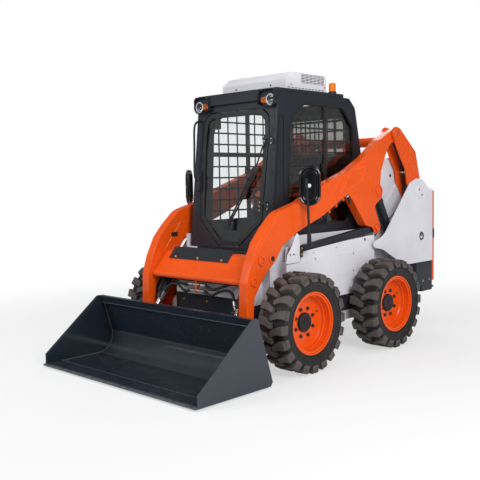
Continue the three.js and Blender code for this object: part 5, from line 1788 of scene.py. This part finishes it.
    def lamp(self, side: Side) -> None:
        """Builds one work lamp and the indicator beside it.

        Args:
            side: the side that it is built on.
        """
        y = -0.445
        x, z = 0.41, 2.086
        pod = Form().lathe([
            (0, 0), (0.036, 0), (0.043, 0.006), (0.0445, 0.02), (0.0445, 0.0332), (0.0405, 0.034),
                            (0.0385, 0.03),
            (0.028, 0.012), (0, 0.008)], at(x, y, z), FORWARD, 44)
        hood = [(0.278, 2.052, 0.02), (0.292, 2.14, 0.02), (0.31, 2.168, 0.012), (0.438, 2.172, 0.012),
                (0.462, 2.15, 0.02), (0.462, 2.066, 0.03), (0.43, 2.03, 0.03), (0.332, 2.036, 0.03)]
        hood = [(u, v + DATUM.z, r) for u, v, r in hood]
        front = y + DATUM.y
        pod.sheet(rounded(hood), "Y", front - 0.012, front + 0.03, 0.004)
        pod.sheet(rounded(hood), "Y", front - 0.052, front - 0.006, 0.003, rounded(grown(hood, -0.006)))
        pod.on(side, "lamp_pod", CHARCOAL, "chassis", (f"headlamp_{side.word}",))
        dish = Form().lathe([(0, 0.005), (0.0375, 0.005), (0.0375, 0.029), (0.03, 0.014), (0.016, 0.009),
                             (0.007, 0.009),
                             (0.007, 0.02), (0, 0.021)],
                            at(x, y, z), FORWARD, 44)
        dish.ring(at(x, y - 0.0335, z), REARWARD, 0.0452, 0.039, 0.006, 44)
        for k in range(12):
            a = math.tau * k / 12
            dish.rod(at(x + 0.027 * math.cos(a), y - 0.016, z + 0.027 * math.sin(a)),
                     at(x + 0.027 * math.cos(a), y - 0.026, z + 0.027 * math.sin(a)), 0.0045, sides=12)
        dish.on(side, "lamp_reflector", REFLECTOR, "chassis")
        glass = Form().lathe([(0, 0.0332), (0.024, 0.0325), (0.0392, 0.0308), (0.0392, 0.029),
                              (0.024, 0.0303), (0, 0.031)],
                             at(x, y, z), FORWARD, 44)
        glass.on(side, "lamp_glass", LENS, "chassis")
        lens = Form().loft([
            [at(u, y - 0.01, v) for u, v in rounded([[0.29, 2.064, 0.014], [0.376, 2.05, 0.014],
                    [0.376, 2.124, 0.014], [0.29, 2.106, 0.014]])],
            [at(u, y - 0.034, v) for u, v in rounded([[0.306, 2.07, 0.012], [0.366, 2.06, 0.012],
                    [0.366, 2.114, 0.012], [0.306, 2.102, 0.012]])],
        ], 0.003)
        lens.on(side, "indicator", AMBER, "chassis")

    def build(self) -> None:
        """Builds the whole cab."""
        self.shell()
        for side in Side:
            self.side(side)
            Mirrors().build(side)
        self.door()
        self.rear()
        self.roof()


@dataclass
class Mirrors:
    """A rounded mirror, turned towards the operator, on its straight stalk."""

    centre: tuple[float, float, float] = (0.7, -0.352, 1.402)
    wide: float = 0.083
    tall: float = 0.153
    turn: float = 30.0

    def loop(self, share: float, back: float) -> list[Vector]:
        """Returns one oval loop of the mirror.

        Args:
            share: how much smaller than the rim it is.
            back: how far it stands behind the mirror's middle, in metres.
        """
        out = []
        angle = math.radians(self.turn)
        straight = self.tall - self.wide
        for k in range(64):
            a = math.tau * k / 64
            u = self.wide * share * math.cos(a)
            v = self.wide * share * math.sin(a) + math.copysign(straight, math.sin(a)) * min(1.0,
                    abs(math.sin(a)) * 6)
            out.append(at(*self.centre) + Vector((u * math.cos(angle) - back * math.sin(angle),
                                                  u * math.sin(angle) + back * math.cos(angle), v)))
        return out

    def build(self, side: Side) -> None:
        """Builds the mirror of one side.

        Args:
            side: the side that it is built on.
        """
        rings = [(0.1, -0.004), (0.4, -0.004), (0.45, -0.012), (0.56, -0.012), (0.62, -0.003), (0.76, -0.003),
                 (0.84, -0.018), (0.94, -0.0185), (1.0, -0.01), (1.0, 0.01), (0.95, 0.0135), (0.92, 0.011),
                 (0.1, 0.011)]
        shell = Form().loft([self.loop(share, back) for share, back in rings])
        for share, back, size in ((0.955, -0.0155, 0.0075), (0.7, -0.006, 0.0055), (0.42, -0.0075, 0.0045)):
            loop = self.loop(share, back)
            shell.pipe([*loop, *loop[:2]], size, 10)
        shell.on(side, "mirror_shell", GLOSS, "chassis", (f"mirror_{side.word}",))
        face = Form().loft([self.loop(0.915, 0.0105), self.loop(0.915, 0.0118), self.loop(0.6, 0.0124)])
        face.on(side, "mirror_face", SILVER, "chassis")
        x, y, z = self.centre
        foot = x - 0.006
        stalk = Form().block(at(0.613, y - 0.022, 0.926), at(foot + 0.022, y + 0.022, 0.938), 0.003)
        stalk.pipe([at(foot, y - 0.012, 0.934), at(foot + 0.001, y - 0.02, 1.14),
                    at(x - 0.008, y - 0.034, z + 0.055)], 0.0098, 16)
        stalk.rod(at(foot, y - 0.012, 0.936), at(foot, y - 0.014, 1.03), 0.0185, 0.016, 24)
        stalk.block(at(x - 0.02, y - 0.04, z - 0.014), at(x + 0.006, y - 0.02, z + 0.014), 0.004)
        stalk.on(side, "mirror_stalk", CHARCOAL, "chassis")
        part = bmesh.new()
        bmesh.ops.create_uvsphere(part, u_segments=28, v_segments=16, radius=0.0175)
        bmesh.ops.scale(part, vec=(1, 0.9, 1), verts=part.verts)
        knob = Form().take(part, Matrix.Translation(at(x + 0.004, y - 0.02, z)))
        knob.on(side, "mirror_knob", WHITE, "chassis")


# ---------------------------------------------------------------- operator's place


@dataclass
class OperatorPlace:
    """Padded seat, hand levers, lap bar and instrument pods."""

    def pad(self, name: str, node: str, low: Point, high: Point, crown: Point, seed: int) -> bpy.types.Object:
        """Builds one padded cushion, blown up by a cloth run.

        Args:
            name: the piece's name.
            node: the soft CAD node that it stands for.
            low: lowest corner.
            high: highest corner.
            crown: the most that a point may move along each axis.
            seed: number that fixes the creases.

        Returns:
            The cushion.
        """
        part = cuboid(low, high)
        a, b = Vector(low), Vector(high)
        bmesh.ops.bevel(part, geom=part.edges[:], offset=0.028, offset_type="OFFSET", segments=4, profile=0.5,
                        affect="EDGES", material=-1, clamp_overlap=True)
        piece = to_object(name, part)
        remesh = piece.modifiers.new("skin", "REMESH")
        remesh.mode = "VOXEL"
        remesh.voxel_size = 0.0062
        self.freeze(piece)
        rest = [v.co.copy() for v in piece.data.vertices]
        self.swell(piece, rest, crown)
        centre = (a + b) / 2
        size = b - a
        for v, home in zip(piece.data.vertices, rest):
            q = Vector([(v.co[i] - centre[i]) / size[i] for i in range(3)])
            crease = noise.noise(home * 14 + Vector((seed, 0, 0))) * 0.0022
            v.co += v.normal * crease
            thin = min(range(3), key=lambda i: size[i])
            others = [i for i in range(3) if i != thin]
            dome = max(0.0, 1 - (2 * q[others[0]]) ** 2) * max(0.0, 1 - (2 * q[others[1]]) ** 2)
            groove = sum(math.exp(-((q[others[0]] - c) * size[others[0]] / 0.006) ** 2) for c in (-0.24,
                    0.24))
            away = 1 if (q[thin] > 0) == (thin == 2) else -1
            if away > 0:
                v.co[thin] += (1 if thin == 2 else -1) * (0.012 * dome - 0.007 * groove)
        smooth = piece.modifiers.new("smooth", "SUBSURF")
        smooth.levels = smooth.render_levels = 1
        piece.data.materials.append(VINYL.build())
        piece.data.shade_smooth()
        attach(piece, "chassis")
        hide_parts(node)
        LOG.info("%s on chassis: padded", name)
        return piece

    @staticmethod
    def freeze(piece: bpy.types.Object) -> None:
        """Applies every modifier of a piece.

        Args:
            piece: the piece.
        """
        graph = bpy.context.evaluated_depsgraph_get()
        data = bpy.data.meshes.new_from_object(piece.evaluated_get(graph))
        old = piece.data
        piece.modifiers.clear()
        piece.data = data
        data.name = piece.name
        bpy.data.meshes.remove(old)

    def swell(self, piece: bpy.types.Object, rest: Sequence[Vector], crown: Point) -> None:
        """Runs the cloth and holds each point within its cap.

        Args:
            piece: the cushion.
            rest: its points before the run.
            crown: the most that a point may move along each axis.
        """
        cloth = piece.modifiers.new("cloth", "CLOTH")
        cloth.settings.use_pressure = True
        cloth.settings.uniform_pressure_force = 4.0
        cloth.settings.effector_weights.gravity = 0.0
        scene = bpy.context.scene
        for number in range(1, 21):
            scene.frame_set(number)
        self.freeze(piece)
        scene.frame_set(1)
        for v, home in zip(piece.data.vertices, rest):
            for i in range(3):
                v.co[i] = home[i] + max(-crown[i], min(crown[i], v.co[i] - home[i]))

    def build(self) -> None:
        """Builds everything inside the cab."""
        recast("operator_station", "seat_frame", TRIM, "chassis", 0.005)
        y = DATUM.y
        self.pad("seat_cushion_pad", "seat_cushion", (-0.197, -0.072 + y, 1.0395), (0.197, 0.322 + y, 1.112),
                 (0.006, 0.006, 0.012), 3)
        self.pad("seat_back_pad", "seat_back", (-0.19, 0.355 + y, 1.15), (0.19, 0.444 + y, 1.575),
                 (0.01, 0.006, 0.006), 7)
        seams = Form()
        ring = rectangle(-0.2, 0.2, -0.075, 0.325, 0.03)
        path = [at(u, v, 1.076) for u, v in ring]
        seams.pipe([*path, path[0]], 0.0035, 8, 1)
        back = [at(u, 0.368, v) for u, v in rounded([[-0.196, 1.14, 0.03], [0.196, 1.14, 0.03],
                                                     [0.186, 1.562, 0.05], [-0.186, 1.562, 0.05]])]
        seams.pipe([*back, back[0]], 0.0035, 8, 1)
        seams.place("seat_piping", VINYL, "chassis", weigh=False)
        levers = Form()
        for s in (1, -1):
            x = s * 0.29
            levers.lathe([(0, 0), (0.04, 0), (0.036, 0.01), (0.028, 0.018), (0.031, 0.024), (0.022, 0.034),
                          (0.024, 0.04),
                          (0.015, 0.052), (0.0125, 0.11), (0, 0.11)], at(x, 0.08, 1.18), UP, 28)
            levers.lathe([(0, 0), (0.0125, 0), (0.021, 0.004), (0.0245, 0.018), (0.0228, 0.034),
                          (0.0245, 0.052), (0.025, 0.07),
                          (0.019, 0.082), (0, 0.084)], at(x, 0.08, 1.287), UP, 28)
            levers.block(at(x - 0.012, 0.054, 1.335), at(x + 0.012, 0.062, 1.362), 0.003)
            low, high = sorted((s * 0.252, s * 0.328))
            levers.block(at(low, 0.15, 1.176), at(high, 0.395, 1.205), 0.01)
        levers.place("hand_levers", BLACK, "chassis")
        bar = Form()
        bar.pipe([at(-0.24, 0.43, 1.34), at(-0.25, 0.2, 1.345), at(-0.235, 0.045, 1.325),
                  at(-0.16, -0.005, 1.315),
                  at(0.0, -0.012, 1.312), at(0.16, -0.005, 1.315), at(0.235, 0.045, 1.325),
                  at(0.25, 0.2, 1.345),
                  at(0.24, 0.43, 1.34)], 0.014, 18)
        bar.place("lap_bar", ORANGE, "chassis", weigh=False)
        grip = Form().pipe([at(-0.13, -0.008, 1.3135), at(0.0, -0.0125, 1.312), at(0.13, -0.008, 1.3135)],
                           0.021, 18)
        grip.place("lap_bar_pad", TRIM, "chassis", weigh=False)
        panels = Form()
        for s in (1, -1):
            spot = cab_front(s * 0.34, 0.075, 1.06)
            panels.block(spot + Vector((-0.055, 0, -0.045)), spot + Vector((0.055, 0.05, 0.045)), 0.01)
        panels.place("instrument_pods", TRIM, "chassis")


# ---------------------------------------------------------------- studio


def maths(tree: bpy.types.NodeTree, operation: str, a: Socket, b: object) -> Socket:
    """Returns the result of an operation on a socket and a socket or number.

    Args:
        tree: the nodes it joins.
        operation: its name.
        a: the first value.
        b: the second value.
    """
    node = tree.nodes.new("ShaderNodeMath")
    node.operation = operation
    tree.links.new(a, node.inputs[0])
    if isinstance(b, Socket):
        tree.links.new(b, node.inputs[1])
    else:
        node.inputs[1].default_value = b
    return node.outputs[0]


def glow(tree: bpy.types.NodeTree, kind: str, colour: Point, strength: float) -> Socket:
    """Returns an emission or background of a plain colour.

    Args:
        tree: the nodes it joins.
        kind: the node's type.
        colour: its colour.
        strength: its strength.
    """
    node = tree.nodes.new(kind)
    node.inputs["Color"].default_value = (*colour, 1)
    node.inputs["Strength"].default_value = strength
    return node.outputs[0]


def blended(tree: bpy.types.NodeTree, *sockets: Socket) -> Socket:
    """Returns a mix of two shaders, given the factor and then the shaders.

    Args:
        tree: the nodes it joins.
        sockets: factor, first shader and second shader.
    """
    node = tree.nodes.new("ShaderNodeMixShader")
    for socket, end in zip(sockets, node.inputs):
        tree.links.new(socket, end)
    return node.outputs[0]


@dataclass
class Studio:
    """Pale floor, soft lamps, plain world and the camera."""

    eye: tuple[float, float, float] = (4.376, -4.855, 1.474)
    azimuth: float = 44.252
    elevation: float = 4.636
    roll: float = -1.125
    lens: float = 56.05
    world: float = 0.5
    mirrored: float = 0.22
    sheen: float = 0.25

    def camera(self) -> None:
        """Places the camera."""
        az, el, ro = (math.radians(v) for v in (self.azimuth, self.elevation, self.roll))
        back = Vector((math.sin(az) * math.cos(el), -math.cos(az) * math.cos(el), math.sin(el)))
        right = Vector((math.cos(az), math.sin(az), 0))
        up = back.cross(right)
        r2 = right * math.cos(ro) + up * math.sin(ro)
        u2 = up * math.cos(ro) - right * math.sin(ro)
        data = bpy.data.cameras.new("camera")
        data.lens = self.lens
        data.sensor_width = 36.0
        data.clip_end = 200.0
        camera = bpy.data.objects.new("camera", data)
        bpy.context.scene.collection.objects.link(camera)
        camera.matrix_world = Matrix.Translation(Vector(self.eye)) @ Matrix((r2, u2,
                    back)).transposed().to_4x4()
        bpy.context.scene.camera = camera

    def floor(self) -> None:
        """Builds the floor, which turns to plain white away from the machine."""
        part = bmesh.new()
        bmesh.ops.create_circle(part, cap_ends=True, segments=96, radius=60.0)
        piece = to_object("floor", part)
        material = bpy.data.materials.new("studio_floor")
        material.use_nodes = True
        tree = material.node_tree
        tree.nodes.clear()
        out = tree.nodes.new("ShaderNodeOutputMaterial")
        matt = tree.nodes.new("ShaderNodeBsdfDiffuse")
        matt.inputs["Color"].default_value = (0.8, 0.8, 0.81, 1)
        ray = tree.nodes.new("ShaderNodeLightPath").outputs
        sheen = maths(tree, "MULTIPLY", ray["Is Glossy Ray"], self.sheen)
        second = maths(tree, "MAXIMUM", sheen, ray["Is Transmission Ray"])
        direct = maths(tree, "MAXIMUM", ray["Is Camera Ray"], second)
        coords = tree.nodes.new("ShaderNodeTexCoord")
        length = tree.nodes.new("ShaderNodeVectorMath")
        length.operation = "LENGTH"
        tree.links.new(coords.outputs["Object"], length.inputs[0])
        fade = tree.nodes.new("ShaderNodeMapRange")
        fade.interpolation_type = "SMOOTHSTEP"
        for key, value in (("From Min", 2.2), ("From Max", 5.5), ("To Min", 0.55), ("To Max", 1.0)):
            fade.inputs[key].default_value = value
        tree.links.new(length.outputs["Value"], fade.inputs["Value"])
        share = maths(tree, "MULTIPLY", direct, fade.outputs[0])
        white = glow(tree, "ShaderNodeEmission", (1, 1, 1), 1.0)
        tree.links.new(blended(tree, share, matt.outputs[0], white), out.inputs[0])
        piece.data.materials.append(material)

    def sky(self) -> None:
        """Sets a plain world: white to look at, softer as a light."""
        world = bpy.data.worlds.new("studio")
        bpy.context.scene.world = world
        world.use_nodes = True
        tree = world.node_tree
        tree.nodes.clear()
        out = tree.nodes.new("ShaderNodeOutputWorld")
        soft = glow(tree, "ShaderNodeBackground", (0.97, 0.985, 1.0), self.world)
        plain = glow(tree, "ShaderNodeBackground", (1, 1, 1), 1.0)
        dim = glow(tree, "ShaderNodeBackground", (0.9, 0.95, 1.0), self.mirrored)
        ray = tree.nodes.new("ShaderNodeLightPath").outputs
        direct = maths(tree, "MAXIMUM", ray["Is Camera Ray"], ray["Is Transmission Ray"])
        shine = blended(tree, ray["Is Glossy Ray"], soft, dim)
        tree.links.new(blended(tree, direct, shine, plain), out.inputs[0])

    @staticmethod
    def lamp(name: str, place: Point, aim: Point, size: float, power: float) -> None:
        """Hangs one large soft lamp and turns it to a point.

        Args:
            name: its name.
            place: where it hangs.
            aim: what it points at.
            size: its width.
            power: its power in watts.
        """
        data = bpy.data.lights.new(name, "AREA")
        data.shape = "DISK"
        data.size = size
        data.energy = power
        piece = bpy.data.objects.new(name, data)
        bpy.context.scene.collection.objects.link(piece)
        way = Vector(place) - Vector(aim)
        piece.matrix_world = Matrix.Translation(Vector(place)) @ way.to_track_quat("Z",
                    "Y").to_matrix().to_4x4()

    def build(self) -> None:
        """Builds the studio."""
        bpy.context.scene.view_settings.view_transform = "Standard"
        self.camera()
        self.floor()
        self.sky()
        self.lamp("key", (5.2, -2.2, 3.9), (0, 0, 0.9), 3.0, 215)
        self.lamp("front", (-2.5, -6.0, 3.6), (0, -0.6, 0.9), 3.0, 130)
        self.lamp("back", (-3.5, 5.0, 5.0), (0, 0.4, 1.2), 3.0, 95)
        self.lamp("over", (0.5, 0.0, 6.5), (0, 0, 1.0), 3.0, 40)


def main() -> None:
    """Builds every part of the machine and the studio round it."""
    logging.basicConfig(level=logging.INFO, format="%(message)s")
    Studio().build()
    for name, side, y in (("front_left", Side.LEFT, FRONT_AXLE_Y), ("front_right", Side.RIGHT, FRONT_AXLE_Y),
                          ("rear_left", Side.LEFT, REAR_AXLE_Y), ("rear_right", Side.RIGHT, REAR_AXLE_Y)):
        Wheel(name, side, y).build()
    Chassis().build()
    LiftGear().build()
    for side in Side:
        Cylinder("lift", side, 0.5705, LIFT_BASE, LIFT_EYE, 0.041, 0.024, 0.038, 0.04, 0.02,
                 0.632, 0.05, 0.058).build()
        Cylinder("tilt", side, 0.462, TILT_BASE, TILT_EYE, 0.034, 0.018, 0.03, 0.03, 0.016,
                 0.44, 0.042, 0.098).build()
    Bucket().build()
    Cab().build()
    OperatorPlace().build()


if __name__ == "__main__":
    main()
